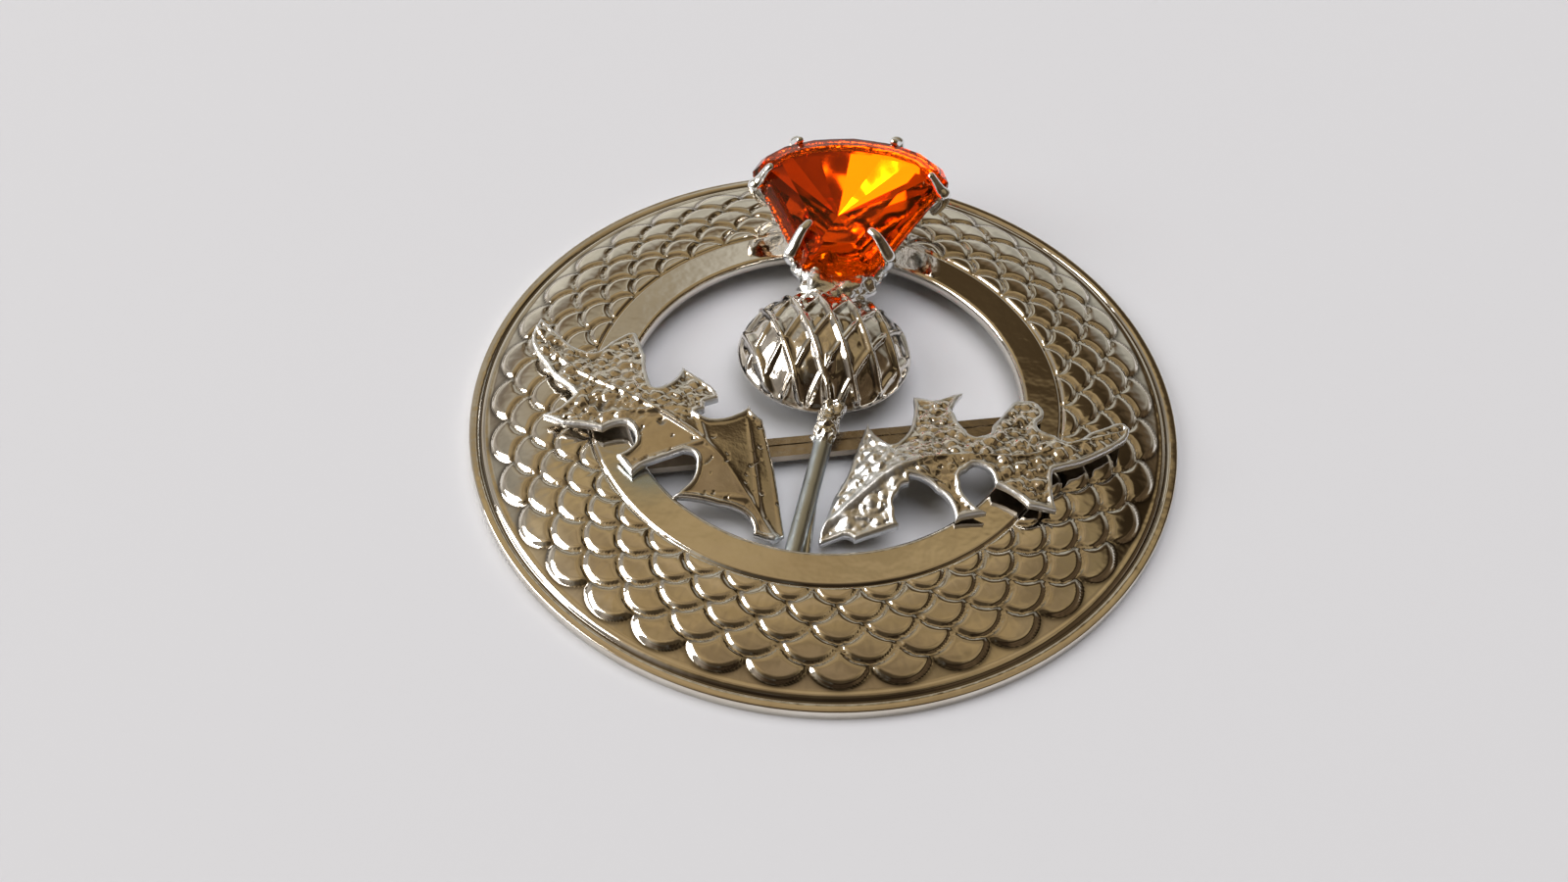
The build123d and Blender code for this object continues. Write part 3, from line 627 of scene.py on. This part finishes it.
def pebbles(points, size, seed):
    """Pebbled relief from 0 to 1: round bumps at jittered places on a lattice, each falling off as
    one less its distance squared."""
    random = np.random.default_rng(seed).random((64, 64, 3))
    cell = np.floor(points / size).astype(int)
    height = np.zeros(len(points))
    for i in (-1, 0, 1):
        for j in (-1, 0, 1):
            spot = cell + (i, j)
            jitter = random[spot[:, 0] % 64, spot[:, 1] % 64]
            centre = (spot + 0.15 + 0.7 * jitter[:, :2]) * size
            reach = size * (0.3 + 0.35 * jitter[:, 2])
            fall = ((points - centre) ** 2).sum(1) / reach**2
            height = np.maximum(height, np.clip(1 - fall, 0, 1) * (0.4 + 0.6 * jitter[:, 2]))
    return height


def cast_grain(points, seed):
    """The grain of a rough casting, about -0.5 to 0.5: three sizes of noise, with the two finer
    ones folded about their middle so that they run in wormy ridges."""
    x, y = points[:, 0], points[:, 1]
    broad = value_noise(x, y, x * 0, 0.95, seed) - 0.5
    worm = 0.5 - 2 * np.abs(value_noise(x, y, x * 0 + 3.3, 0.62, seed + 1) - 0.5)
    fine = 0.5 - 2 * np.abs(value_noise(x, y, x * 0 + 7.7, 0.3, seed + 2) - 0.5)
    return 0.45 * broad + 0.4 * worm + 0.25 * fine


def leaf_plan(edge):
    """The leaf's outline filled with points in staggered rows and cut into triangles that face up:
    gives the points and the triangles."""
    low, high = edge.min(0), edge.max(0)
    rows = np.arange(low[1], high[1], LEAF_SPACING * 0.87)
    columns = np.arange(low[0], high[0], LEAF_SPACING)
    x, y = np.meshgrid(columns, rows)
    x = x + (np.arange(len(rows)) % 2 * LEAF_SPACING / 2)[:, None]
    filling = np.stack([x.ravel(), y.ravel()], -1)
    filling = filling[inside_outline(filling, edge)]
    filling = filling[nearest(filling, edge) > LEAF_SPACING * 0.6]
    points = [Vector(point) for point in np.concatenate([edge, filling])]
    loop = list(range(len(edge)))
    plan, _, faces, _, _, _ = geometry.delaunay_2d_cdt(points, [], [loop], 1, 1e-6)
    plan = np.array([tuple(point) for point in plan])
    faces = np.array([tuple(face) for face in faces])
    corner = plan[faces]
    area = np.cross(corner[:, 1] - corner[:, 0], corner[:, 2] - corner[:, 0])
    faces[area < 0] = faces[area < 0][:, ::-1]
    return plan, faces


def leaf(name, node, base_x, length, turn, spine, outline, veins, vein_rise, rough_from, rough_gain,
         pebble_rise, solder_reach, flat_edge, seed, materials):
    """A leaf: a sheet at the height of its spine, less the fall to each side by the distance across
    it. Its face adds bell-shaped midrib, side veins and bead, grain and bumps where it is rough, and
    a gentle unevenness, less its pits; its back is plain. Painted shade darkens it between the bumps
    and in the pits. A pale film of solder lies at its foot, partly a painted highlight on the midrib
    and lobe there, and a painted highlight runs along its bead."""
    edge = edge_points(outline, length)
    plan, faces = leaf_plan(edge)
    flat_zero = plan[:, 0] * 0
    knots, middle, rise, left_fall, right_fall = np.array(spine, float).T
    where = np.clip(plan[:, 0] / length, knots[0], knots[-1])
    across = plan[:, 1] - spline(knots, middle, where) * length
    left = np.tan(np.radians(spline(knots, left_fall, where)))
    right = np.tan(np.radians(spline(knots, right_fall, where)))
    sheet = LEAF_SEAT + LEAF_RISE * spline(knots, rise, where)
    sheet = sheet - np.where(across > 0, left, right) * np.abs(across)
    to_edge = nearest(plan, edge)
    taper = 1 - VEIN_TAPER * smooth_step(where / 0.6)
    rib = np.exp(-((across / (VEIN_WIDTH / 2 * taper)) ** 2)) * (0.45 + 0.55 * taper)
    midrib = vein_rise[0] + (vein_rise[1] - vein_rise[0]) * smooth_step((where - 0.3) / 0.15)
    side = np.zeros(len(plan))
    for start, end in veins:
        gap, share = to_line(plan, np.array(start) * length, np.array(end) * length)
        width = SIDE_VEIN_WIDTH - SIDE_VEIN_NARROWING * share
        side = np.maximum(side, (1 - SIDE_VEIN_FADE * share) * np.exp(-((gap / width) ** 2)))
    # Towards the foot, flat_edge takes the bead off one side, and pebble_rise adds bumps to the other
    flat_side = smooth_step((0.34 - where) / 0.06) * smooth_step(-across / 0.5)
    bead = np.exp(-(((to_edge - BEAD_INSET) / BEAD_WIDTH) ** 2)) * (1 - flat_edge * flat_side)
    patch = value_noise(plan[:, 0], plan[:, 1], flat_zero, PATCH_SIZE, seed + 1)
    rough = np.clip(rough_from + rough_gain * smooth_step((where - 0.3) / 0.35) + 0.6 * (patch - 0.5), 0, 1)
    rough = (1 - bead) * (1 - 0.8 * rib) * rough
    grain = cast_grain(plan, seed)
    bump = np.maximum(pebbles(plan, BUMP_SIZE, seed + 4), 0.4 * pebbles(plan, FINE_BUMP_SIZE, seed + 6))
    lobe = smooth_step((0.36 - where) / 0.1) * smooth_step((across - 0.5) / 0.6)
    pits = value_noise(plan[:, 0], plan[:, 1], flat_zero, PIT_SIZE, seed + 5)
    pits = smooth_step((pits - 0.84) / 0.08)
    relief = (midrib * rib + SIDE_VEIN_RISE * side * (1 - rib) + BEAD_RISE * bead
              + GRAIN_RISE * rough * grain + (BUMP_RISE * rough + pebble_rise * lobe) * bump * (1 - bead)
              - PIT_DEPTH * pits * (1 - bead) + PATCH_RISE * (patch - 0.5) * (1 - rib))
    top = sheet + relief
    bottom = sheet - LEAF_THICKNESS

    directed = np.concatenate([faces[:, [0, 1]], faces[:, [1, 2]], faces[:, [2, 0]]])
    pairs, counts = np.unique(np.sort(directed, 1), axis=0, return_counts=True)
    border = {tuple(pair) for pair in pairs[counts == 1].tolist()}
    rim = [(a, b) for a, b in directed.tolist() if (min(a, b), max(a, b)) in border]
    size = len(plan)
    turn = math.radians(turn)
    placed = np.stack([
        base_x + plan[:, 0] * math.cos(turn) - plan[:, 1] * math.sin(turn),
        LEAF_BASE_Y + plan[:, 0] * math.sin(turn) + plan[:, 1] * math.cos(turn),
    ], -1)
    corners = np.concatenate([np.column_stack([placed, top]), np.column_stack([placed, bottom])])
    below = faces[:, ::-1] + size
    sides = [(b, a, a + size, b + size) for a, b in rim]
    # Painted shade between the bumps and in the pits
    between = np.clip(rough - 0.2, 0, 1) * (0.3 - bump - 0.6 * grain) * 3
    painted_shade = np.clip(between + 0.7 * pits, 0, 1)
    # Pale solder at the foot, partly a painted highlight on the midrib and lobe there
    foot_solder_and_highlight = smooth_step((solder_reach - where) / 0.14) * (1 + 1.4 * rib)
    # Painted highlight along the bead
    bead_highlight = 1.5 * smooth_step((BEAD_REACH - to_edge) / 0.12) * (1 - flat_side)
    bead_highlight = bead_highlight * (0.3 + 0.7 * smooth_step((where - 0.2) / 0.15))
    piece = placed_mesh(name, corners, faces.tolist() + below.tolist() + sides, materials, {
        "crease_shade": np.concatenate([painted_shade, np.zeros(size)]),
        "solder_and_highlight": np.tile(np.maximum(foot_solder_and_highlight, bead_highlight), 2),
    })
    slots = np.zeros(len(piece.data.polygons), np.int32)
    slots[len(faces):2 * len(faces)] = 1
    piece.data.polygons.foreach_set("material_index", slots)
    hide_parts(node)


# Plated rough casting: a broken, sparkling mirror with painted dark shade between its bumps and a
# pale film of solder, partly a painted highlight. The undersides are duller, pale on the left leaf
# and painted dark as shade on the right one, and the ring's bright face below mirrors them.
leaf_face = plated("plated_cast_leaf", "#E6DFD4", "#D2C8BA", roughness=0.07, cloud_mm=2.5,
                   ripple_mm=0.6, ripple_rise=0.012, crease_shade="#2E261F", solder_and_highlight="#EAEBEC")
leaf_pale_back = plated("plated_cast_leaf_underside", "#C4BCB0", "#9C9488", roughness=0.3,
                        cloud_mm=2.5, ripple_mm=0.5, ripple_rise=0.05)
# Dark underside of the right leaf: painted shade
leaf_shaded_back = plated("plated_cast_leaf_shaded_back", "#5E564D", "#45403A", roughness=0.35,
                   cloud_mm=2.5, ripple_mm=0.5, ripple_rise=0.05)
leaf("leaf_left_cast", "leaf_left", base_x=-2.0, length=27.7, turn=140.0, spine=LEFT_SPINE,
     outline=LEFT_OUTLINE, veins=LEFT_VEINS, vein_rise=(0.07, 0.3), rough_from=-0.3, rough_gain=1.1,
     pebble_rise=0.0, solder_reach=0.1, flat_edge=0.85, seed=11, materials=(leaf_face, leaf_pale_back))
leaf("leaf_right_cast", "leaf_right", base_x=1.05, length=25.6, turn=30.3, spine=RIGHT_SPINE,
     outline=RIGHT_OUTLINE, veins=RIGHT_VEINS, vein_rise=(0.34, 0.22), rough_from=0.6, rough_gain=0.3,
     pebble_rise=0.2, solder_reach=0.42, flat_edge=0.0, seed=23, materials=(leaf_face, leaf_shaded_back))

# The setting: a cup cast in white metal, joined to the bulb by a flaring neck, with two feet on the
# ring's band and six flattened claws bent over the stone. Cup and neck are rough with solder.
STONE_WIDTH = 16.6
STONE_LENGTH = 14.8
STONE_NEAR = np.array([-0.11, 10.32, 5.3])
STONE_PITCH = math.radians(6)
STONE_ROLL = math.radians(3)
GIRDLE = 0.5
CROWN = 1.5
CROWN_TAPER = math.radians(38)
# The right half of the stone's outline, from its near end, as shares of half its width and of its
# length
STONE_HALF = (
    (0.0, -0.04), (0.35, 0.0), (0.84, 0.53), (1.0, 0.70),
    (0.93, 0.80), (0.73, 0.90), (0.42, 0.97), (0.0, 1.0),
)
CUP_TOP = -0.35
CUP_LIP = 0.08
CUP_INSET = 0.35
CUP_DEPTH = 2.3
CUP_DRAW = 1.7
CUP_WALL = 0.9
CUP_STEPS = 12
CUP_LUMPS = 0.3
NECK_LUMPS = 0.9
FINE_LUMP_SIZE = 0.5
# Each claw's knee at the girdle and its tip on the crown, as shares of half the stone's width and of
# its length
CLAWS = (
    (-0.49, 0.085, -0.29, 0.25), (0.48, 0.10, 0.25, 0.21), (-0.96, 0.59, -0.75, 0.65),
    (0.97, 0.60, 0.79, 0.655), (-0.60, 0.96, -0.53, 0.88), (0.44, 1.0, 0.41, 0.925),
)
CLAW_ROOT = -1.95
CLAW_WIDE = 0.6
CLAW_FINE = 0.28
CLAW_STEPS = 90
# A claw's root leans in by this share of its reach and its body stands off the stone a little. It
# narrows towards its tip, is thicker below the girdle, and is smoothed this many times.
CLAW_LEAN = 0.55
CLAW_STAND_OFF = 0.12
CLAW_NARROWING = 0.42
CLAW_THICKENING = 0.13
CLAW_SMOOTHING = 40
NECK_REACH = (3.1, 1.7)
NECK_HALF = (2.1, 3.78)
NECK_MIDDLE = 4.2
NECK_HALF_HEIGHT = 1.3
FOOT_RADIUS = 0.6
FOOT_SPREAD = 12.0
FOOT_HEIGHT = 1.5
FOOT_FLARE = 0.18
FOOT_STEPS = 24
BAND_TOP = 2.29

stone_across = np.array([math.cos(STONE_ROLL), 0, math.sin(STONE_ROLL)])
stone_along = np.array([0, math.cos(STONE_PITCH), math.sin(STONE_PITCH)])
stone_up = np.cross(stone_across, stone_along)
stone_up /= np.linalg.norm(stone_up)
stone_along = np.cross(stone_up, stone_across)


def on_stone(points):
    """Carry points from the stone's own plane (across, along, up) to the brooch."""
    return (STONE_NEAR + points[..., :1] * stone_across + points[..., 1:2] * stone_along
            + points[..., 2:] * stone_up)


def girdle_outline(inset, soften):
    """The stone's outline in its plane, 16 points to a side, each moved inwards along the side's
    normal and then averaged with its neighbours so that the corners are cast round."""
    half = np.array(STONE_HALF) * (STONE_WIDTH / 2, STONE_LENGTH)
    corners = np.concatenate([half, (half * (-1, 1))[-2:0:-1]])
    after = np.roll(corners, -1, 0)
    share = np.arange(16)[None, :, None] / 16
    run = (after - corners) / np.linalg.norm(after - corners, axis=1, keepdims=True)
    inwards = np.stack([-run[:, 1], run[:, 0]], -1)
    points = corners[:, None] + share * (after - corners)[:, None] + inset * inwards[:, None]
    points = points.reshape(-1, 2)
    for _ in range(soften):
        points = (np.roll(points, 1, 0) + points + np.roll(points, -1, 0)) / 3
    return points


def swept(path, wide, deep, side, sides):
    """A tube along a path: at each point an oval square to the path, its width along the given side
    direction and its depth at right angles to both."""
    tangent = np.gradient(path, axis=0)
    tangent /= np.linalg.norm(tangent, axis=1, keepdims=True)
    across = np.broadcast_to(side, path.shape)
    across = across - (across * tangent).sum(1, keepdims=True) * tangent
    across /= np.linalg.norm(across, axis=1, keepdims=True)
    up = np.cross(across, tangent)
    turn = np.arange(sides) * 2 * math.pi / sides
    return (path[:, None] + (wide[:, None] * np.cos(turn))[..., None] * across[:, None]
            + (deep[:, None] * np.sin(turn))[..., None] * up[:, None])


def crown_height(points):
    """Height of the stone's crown above its plane: it climbs 1 for each tan 38 degrees in from the
    outline, up to its table."""
    edge = girdle_outline(0, 0)
    inside = inside_outline(points, edge)
    depth = np.where(inside, nearest(points, edge), 0)
    return GIRDLE / 2 + np.minimum(CROWN, depth / math.tan(CROWN_TAPER))


def solder_lumps(points, size, seed, fine_seed):
    """Rise of the lumps of solder at a grid of points, about -0.75 to 0.75: noise of one size, with
    half as much finer noise."""
    places = points.transpose(2, 0, 1)
    return (value_noise(*places, size, seed) + 0.5 * value_noise(*places, FINE_LUMP_SIZE, fine_seed)
            - 0.75)[..., None]


# Plated white metal: rippled by solder on cup and neck, smoother and brighter on feet and claws
soldered_metal = plated("plated_setting_base", "#F4F3F1", "#DDE1E2", roughness=0.12, cloud_mm=1.6,
                        ripple_mm=0.55, ripple_rise=0.11)
setting_metal = plated("plated_setting", "#F4F3F1", "#E0E3E3", roughness=0.09, cloud_mm=2.4,
                       ripple_mm=0.8, ripple_rise=0.05)
outer_top = girdle_outline(CUP_INSET, 5)
outer_low = girdle_outline(CUP_INSET + CUP_DRAW, 12)
inner_top = girdle_outline(CUP_INSET + CUP_WALL, 12)
inner_low = girdle_outline(CUP_INSET + CUP_DRAW + CUP_WALL, 20)
walls = []
for start, end, low, high in ((inner_low, inner_top, CUP_TOP - CUP_DEPTH, CUP_TOP - CUP_LIP),
                              (outer_top, outer_low, CUP_TOP - CUP_LIP, CUP_TOP - CUP_DEPTH)):
    for share in np.linspace(0, 1, CUP_STEPS):
        plan = start + (end - start) * share
        walls.append(np.column_stack([plan, np.full(len(plan), low + (high - low) * share)]))
cup_points = on_stone(np.array(walls))
lump = solder_lumps(cup_points[CUP_STEPS:], 1.0, 31, 34)
cup_points[CUP_STEPS:] += CUP_LUMPS * lump * np.array([0.4, -0.8, 0.3])
cup = surface("setting_cup", cup_points, [soldered_metal], ring=True)
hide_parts("setting")

share = np.linspace(0, 1, 40)
neck_y = STONE_NEAR[1] - NECK_REACH[0] + share * sum(NECK_REACH)
neck_x = BULB_CENTRE[0] + share * (STONE_NEAR[0] - BULB_CENTRE[0])
turn_grid, share_grid = np.meshgrid(np.arange(64) * 2 * math.pi / 64, share)
half = NECK_HALF[0] + (NECK_HALF[1] - NECK_HALF[0]) * smooth_step(share_grid)
neck_points = np.stack([
    neck_x[:, None] - half * np.cos(turn_grid),
    np.broadcast_to(neck_y[:, None], half.shape),
    NECK_MIDDLE + NECK_HALF_HEIGHT * np.sin(turn_grid),
], -1)
outwards = np.stack([-np.cos(turn_grid), 0 * turn_grid, np.sin(turn_grid)], -1)
neck_points += NECK_LUMPS * solder_lumps(neck_points, 0.9, 32, 33) * outwards
neck = surface("setting_neck", neck_points, [soldered_metal], close_start=True, close_end=True)
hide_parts("setting")

middle = (BAND_RADIUS + BORE_RADIUS) / 2
for number, turn in enumerate((90 - FOOT_SPREAD, 90 + FOOT_SPREAD)):
    turn = math.radians(turn)
    spot = np.array([middle * math.cos(turn), middle * math.sin(turn), BAND_TOP])
    foot_path = spot + np.linspace(0, FOOT_HEIGHT, FOOT_STEPS)[:, None] * (0, 0, 1)
    flare = FOOT_RADIUS * (1 + FOOT_FLARE * np.exp(-np.linspace(0, 6, FOOT_STEPS)))
    foot_points = swept(foot_path, flare, flare, np.array([1.0, 0, 0]), 40)
    foot = surface(f"setting_foot_{number + 1}", foot_points, [setting_metal],
                   close_start=True, close_end=True)
    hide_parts("setting")

for number, (knee_across, knee_along, tip_across, tip_along) in enumerate(CLAWS):
    knee = np.array([knee_across * STONE_WIDTH / 2, knee_along * STONE_LENGTH])
    tip = np.array([tip_across * STONE_WIDTH / 2, tip_along * STONE_LENGTH])
    share = np.linspace(0, 1, CLAW_STEPS)
    bend = np.clip((share - 0.5) / 0.5, 0, 1)
    draw = np.clip(1 - share / 0.4, 0, 1)
    plan = knee + (tip - knee) * bend[:, None] + (tip - knee) * CLAW_LEAN * draw[:, None] ** 1.5
    lift = crown_height(plan) + CLAW_FINE * 0.8
    height = np.where(share < 0.5, CLAW_ROOT + (lift[CLAW_STEPS // 2] - CLAW_ROOT) * share / 0.5, lift)
    path = np.column_stack([plan, height])
    for _ in range(CLAW_SMOOTHING):
        path[1:-1] = (path[:-2] + path[1:-1] + path[2:]) / 3
    out = (knee - tip) / np.linalg.norm(knee - tip)
    path[:, :2] += out * CLAW_STAND_OFF
    wide = CLAW_WIDE * (1 - CLAW_NARROWING * smooth_step((share - 0.45) / 0.55))
    tip_round = np.sqrt(np.clip(1 - np.clip((share - 0.93) / 0.07, 0, 1) ** 2, 0.0004, 1))
    deep = (CLAW_FINE + CLAW_THICKENING * (1 - bend)) * tip_round
    side = np.array([-out[1], out[0], 0])
    claw_points = on_stone(swept(path, wide * tip_round, deep, side, 24))
    claw = surface(f"setting_claw_{number + 1}", claw_points, [setting_metal],
                   close_start=True, close_end=True)
    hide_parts("setting")

# The stone: fan-cut glass coloured through with orange and polished on every facet, set with its
# pointed back in the cup. That back is taken as foiled: a pale, slightly uneven mirror inside the
# glass, which throws the window's light back up through the table.
# How far below the girdle's lower edge the foil starts and is full, and the size and the rise of
# its waves
FOIL_START = 0.02
FOIL_END = 0.05
FOIL_WAVE = 4.5
FOIL_WAVE_RISE = 0.16
glass = bpy.data.materials.new("orange_cut_glass")
glass.use_nodes = True
tree = glass.node_tree
shader = tree.nodes["Principled BSDF"]
place = add(tree, "ShaderNodeTexCoord").outputs["Object"]
from_plane = add(tree, "ShaderNodeVectorMath", {0: place, 1: tuple(-STONE_NEAR * MM)}, operation="ADD")
above = add(tree, "ShaderNodeVectorMath", {0: from_plane.outputs[0], 1: tuple(stone_up)},
            operation="DOT_PRODUCT")
foil = add(tree, "ShaderNodeMapRange",
           {"Value": above.outputs["Value"], "From Min": -(GIRDLE / 2 + FOIL_START) * MM,
            "From Max": -(GIRDLE / 2 + FOIL_END) * MM})
glow = add(tree, "ShaderNodeMix",
           {"Factor": foil.outputs["Result"], "A": linear("#F05402"), "B": linear("#FFDCB8")},
           data_type="RGBA")
clear = add(tree, "ShaderNodeMath", {0: 1.0, 1: foil.outputs["Result"]}, operation="SUBTRACT")
tree.links.new(glow.outputs["Result"], shader.inputs["Base Color"])
tree.links.new(foil.outputs["Result"], shader.inputs["Metallic"])
tree.links.new(clear.outputs[0], shader.inputs["Transmission Weight"])
dull = add(tree, "ShaderNodeMapRange", {"Value": foil.outputs["Result"], "To Min": 0.01, "To Max": 0.06})
tree.links.new(dull.outputs["Result"], shader.inputs["Roughness"])
shader.inputs["IOR"].default_value = 1.52
shader.inputs["Specular Tint"].default_value = linear("#FFA860")
wave = add(tree, "ShaderNodeTexNoise", {"Vector": place, "Scale": 1 / (FOIL_WAVE * MM), "Detail": 1.0})
uneven = add(tree, "ShaderNodeBump", {"Height": wave.outputs["Fac"], "Distance": FOIL_WAVE_RISE * MM,
                                      "Strength": foil.outputs["Result"]})
tree.links.new(uneven.outputs["Normal"], shader.inputs["Normal"])
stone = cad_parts["stone"]
stone.data.materials.clear()
stone.data.materials.append(glass)

# The floor and the light: a plain pale floor, a bright window to the left, and a warm room that the
# metal mirrors, pale on the left and low behind, brown on the right, with a dark shape over the
# camera. Three lamps are seen only through the glass of the stone.
pale_floor = bpy.data.materials.new("pale_floor")
pale_floor.use_nodes = True
tree = pale_floor.node_tree
shader = tree.nodes["Principled BSDF"]
shader.inputs["Base Color"].default_value = linear("#D9DCE2")
shader.inputs["Roughness"].default_value = 0.85
bpy.context.scene.view_settings.view_transform = "Standard"
floor_mesh = bpy.data.meshes.new("floor")
floor_mesh.from_pydata([(-3, -3, 0), (3, -3, 0), (3, 3, 0), (-3, 3, 0)], [], [(0, 1, 2, 3)])
floor_mesh.materials.append(pale_floor)
floor = bpy.data.objects.new("floor", floor_mesh)
bpy.context.scene.collection.objects.link(floor)

DARK_SHAPE_WAY = (0.05, -0.66, 0.75)
world = bpy.data.worlds.new("room")
bpy.context.scene.world = world
world.use_nodes = True
tree = world.node_tree
toward = add(tree, "ShaderNodeTexCoord").outputs["Generated"]
part = add(tree, "ShaderNodeSeparateXYZ", {"Vector": toward})
wall = add(tree, "ShaderNodeValToRGB", {"Fac": part.outputs["Z"]}, stops=(
    (0.0, "#D8D4CF"), (0.06, "#C9C2B8"), (0.13, "#7A6B58"), (0.2, "#64543F"), (0.5, "#5E4D3A"),
    (0.66, "#7B6A51"), (0.74, "#8A785A"), (0.79, "#A9956F"), (0.86, "#A49070"), (0.93, "#A08B66"),
    (1.0, "#8E7B60"),
))
left_to_right = add(tree, "ShaderNodeMapRange",
                    {"Value": part.outputs["X"], "From Min": -1.0, "From Max": 1.0})
across_room = add(tree, "ShaderNodeValToRGB", {"Fac": left_to_right.outputs["Result"]}, stops=(
    (0.25, "#8E8778"), (0.42, "#A69C88"), (0.455, "#C9C6BC"), (0.48, "#9A9280"), (0.5, "#4E402C"),
    (0.75, "#3E3222"),
))
shelf = add(tree, "ShaderNodeValToRGB", {"Fac": part.outputs["Z"]}, stops=(
    (0.57, "#000000"), (0.63, "#FFFFFF"), (0.72, "#FFFFFF"), (0.77, "#000000"),
))
back_wall = add(tree, "ShaderNodeMix", {"Factor": shelf.outputs["Color"], "A": wall.outputs["Color"],
                                        "B": across_room.outputs["Color"]}, data_type="RGBA")
low = add(tree, "ShaderNodeValToRGB", {"Fac": part.outputs["Z"]}, stops=(
    (0.08, "#000000"), (0.16, "#FFFFFF"), (0.42, "#FFFFFF"), (0.56, "#000000"),
))
behind = add(tree, "ShaderNodeMapRange", {"Value": part.outputs["Y"], "From Min": 0.45, "From Max": 0.8})
low_behind = add(tree, "ShaderNodeMath", {0: low.outputs["Color"], 1: behind.outputs["Result"]},
                 operation="MULTIPLY")
far_wall = add(tree, "ShaderNodeMix", {"Factor": low_behind.outputs[0], "A": back_wall.outputs["Result"],
                                       "B": linear("#C6C4BA")}, data_type="RGBA")
beside = add(tree, "ShaderNodeMapRange", {"Value": part.outputs["X"], "From Min": -0.35, "From Max": -0.95,
                                          "To Min": 0.0, "To Max": 0.55})
pale = add(tree, "ShaderNodeMix", {"Factor": beside.outputs["Result"], "A": far_wall.outputs["Result"],
                                   "B": linear("#C4C2BE")}, data_type="RGBA")
clutter = add(tree, "ShaderNodeTexNoise", {"Vector": toward, "Scale": 3.2, "Detail": 2.0, "Roughness": 0.6})
patch = add(tree, "ShaderNodeMapRange",
            {"Value": clutter.outputs["Fac"], "From Min": 0.35, "From Max": 0.65,
             "To Min": 0.75, "To Max": 1.25})
side = add(tree, "ShaderNodeMapRange", {"Value": part.outputs["X"], "From Min": -0.6, "From Max": 0.6,
                                        "To Min": 1.2, "To Max": 0.8})
gain = add(tree, "ShaderNodeMath", {0: patch.outputs["Result"], 1: side.outputs["Result"]},
           operation="MULTIPLY")
over_camera = add(tree, "ShaderNodeVectorMath", {0: toward, 1: DARK_SHAPE_WAY}, operation="DOT_PRODUCT")
shade = add(tree, "ShaderNodeMapRange",
            {"Value": over_camera.outputs["Value"], "From Min": 0.78, "From Max": 0.92,
             "To Min": 0.0, "To Max": 0.85})
room = add(tree, "ShaderNodeMix", {"Factor": shade.outputs["Result"], "A": pale.outputs["Result"],
                                   "B": linear("#261D15")}, data_type="RGBA")
tree.links.new(room.outputs["Result"], tree.nodes["Background"].inputs["Color"])
tree.links.new(gain.outputs[0], tree.nodes["Background"].inputs["Strength"])


def lamp(name, toward, distance, width, length, power, code, seen_by):
    """A rectangular soft light at a distance from the brooch along a direction, facing it, and seen
    only by the named kinds of ray."""
    light = bpy.data.lights.new(name, "AREA")
    light.shape = "RECTANGLE"
    light.size = width
    light.size_y = length
    light.energy = power
    light.color = linear(code)[:3]
    lit = bpy.data.objects.new(name, light)
    lit.location = Vector(toward).normalized() * distance
    lit.rotation_euler = Vector(toward).to_track_quat("Z", "Y").to_euler()
    lit.visible_diffuse = "diffuse" in seen_by
    lit.visible_glossy = "glossy" in seen_by
    lit.visible_transmission = "glass" in seen_by
    bpy.context.scene.collection.objects.link(lit)


WINDOW_WAY = (-0.80, -0.10, 0.56)
lamp("window", WINDOW_WAY, 1.6, 0.9, 1.0, 27.0, "#FFFCF8", ("glossy",))
lamp("window_on_floor", WINDOW_WAY, 1.6, 0.9, 1.0, 14.5, "#FFFCF8", ("diffuse",))
lamp("room_fill", (0.1, 0.2, 1.0), 1.5, 1.6, 1.6, 18.0, "#F6F6FB", ("diffuse",))
lamp("window_in_stone", (-0.505, -0.204, 0.839), 1.0, 0.92, 0.92, 19.0, "#FFEFB8", ("glass",))
lamp("sun_in_stone", (-0.411, -0.192, 0.891), 1.0, 0.08, 0.08, 11.0, "#FFFFFF", ("glass",))
lamp("warmth_in_stone", (0.27, -0.32, 0.9), 1.0, 1.3, 1.3, 0.7, "#FFD9B0", ("glass",))

# The camera: it stands where the photograph was taken from, as fitted to the ring's outer and inner
# edges, with the lens that shows the brooch at the photograph's size. It is turned a little about
# its own axis.
CAMERA_PLACE = (3.953, -76.689, 86.987)
CAMERA_WAY = (-0.05848, 0.64257, -0.76399)
CAMERA_ROLL = math.radians(2.182)
LENS = 33.75
camera_data = bpy.data.cameras.new("camera")
camera_data.lens = LENS
camera_data.sensor_width = 36
camera_data.clip_start = 0.01
camera = bpy.data.objects.new("camera", camera_data)
camera.location = Vector(CAMERA_PLACE) * MM
aim = Vector(CAMERA_WAY).to_track_quat("-Z", "Y") @ Quaternion((0, 0, 1), CAMERA_ROLL)
camera.rotation_euler = aim.to_euler()
bpy.context.scene.collection.objects.link(camera)
bpy.context.scene.camera = camera
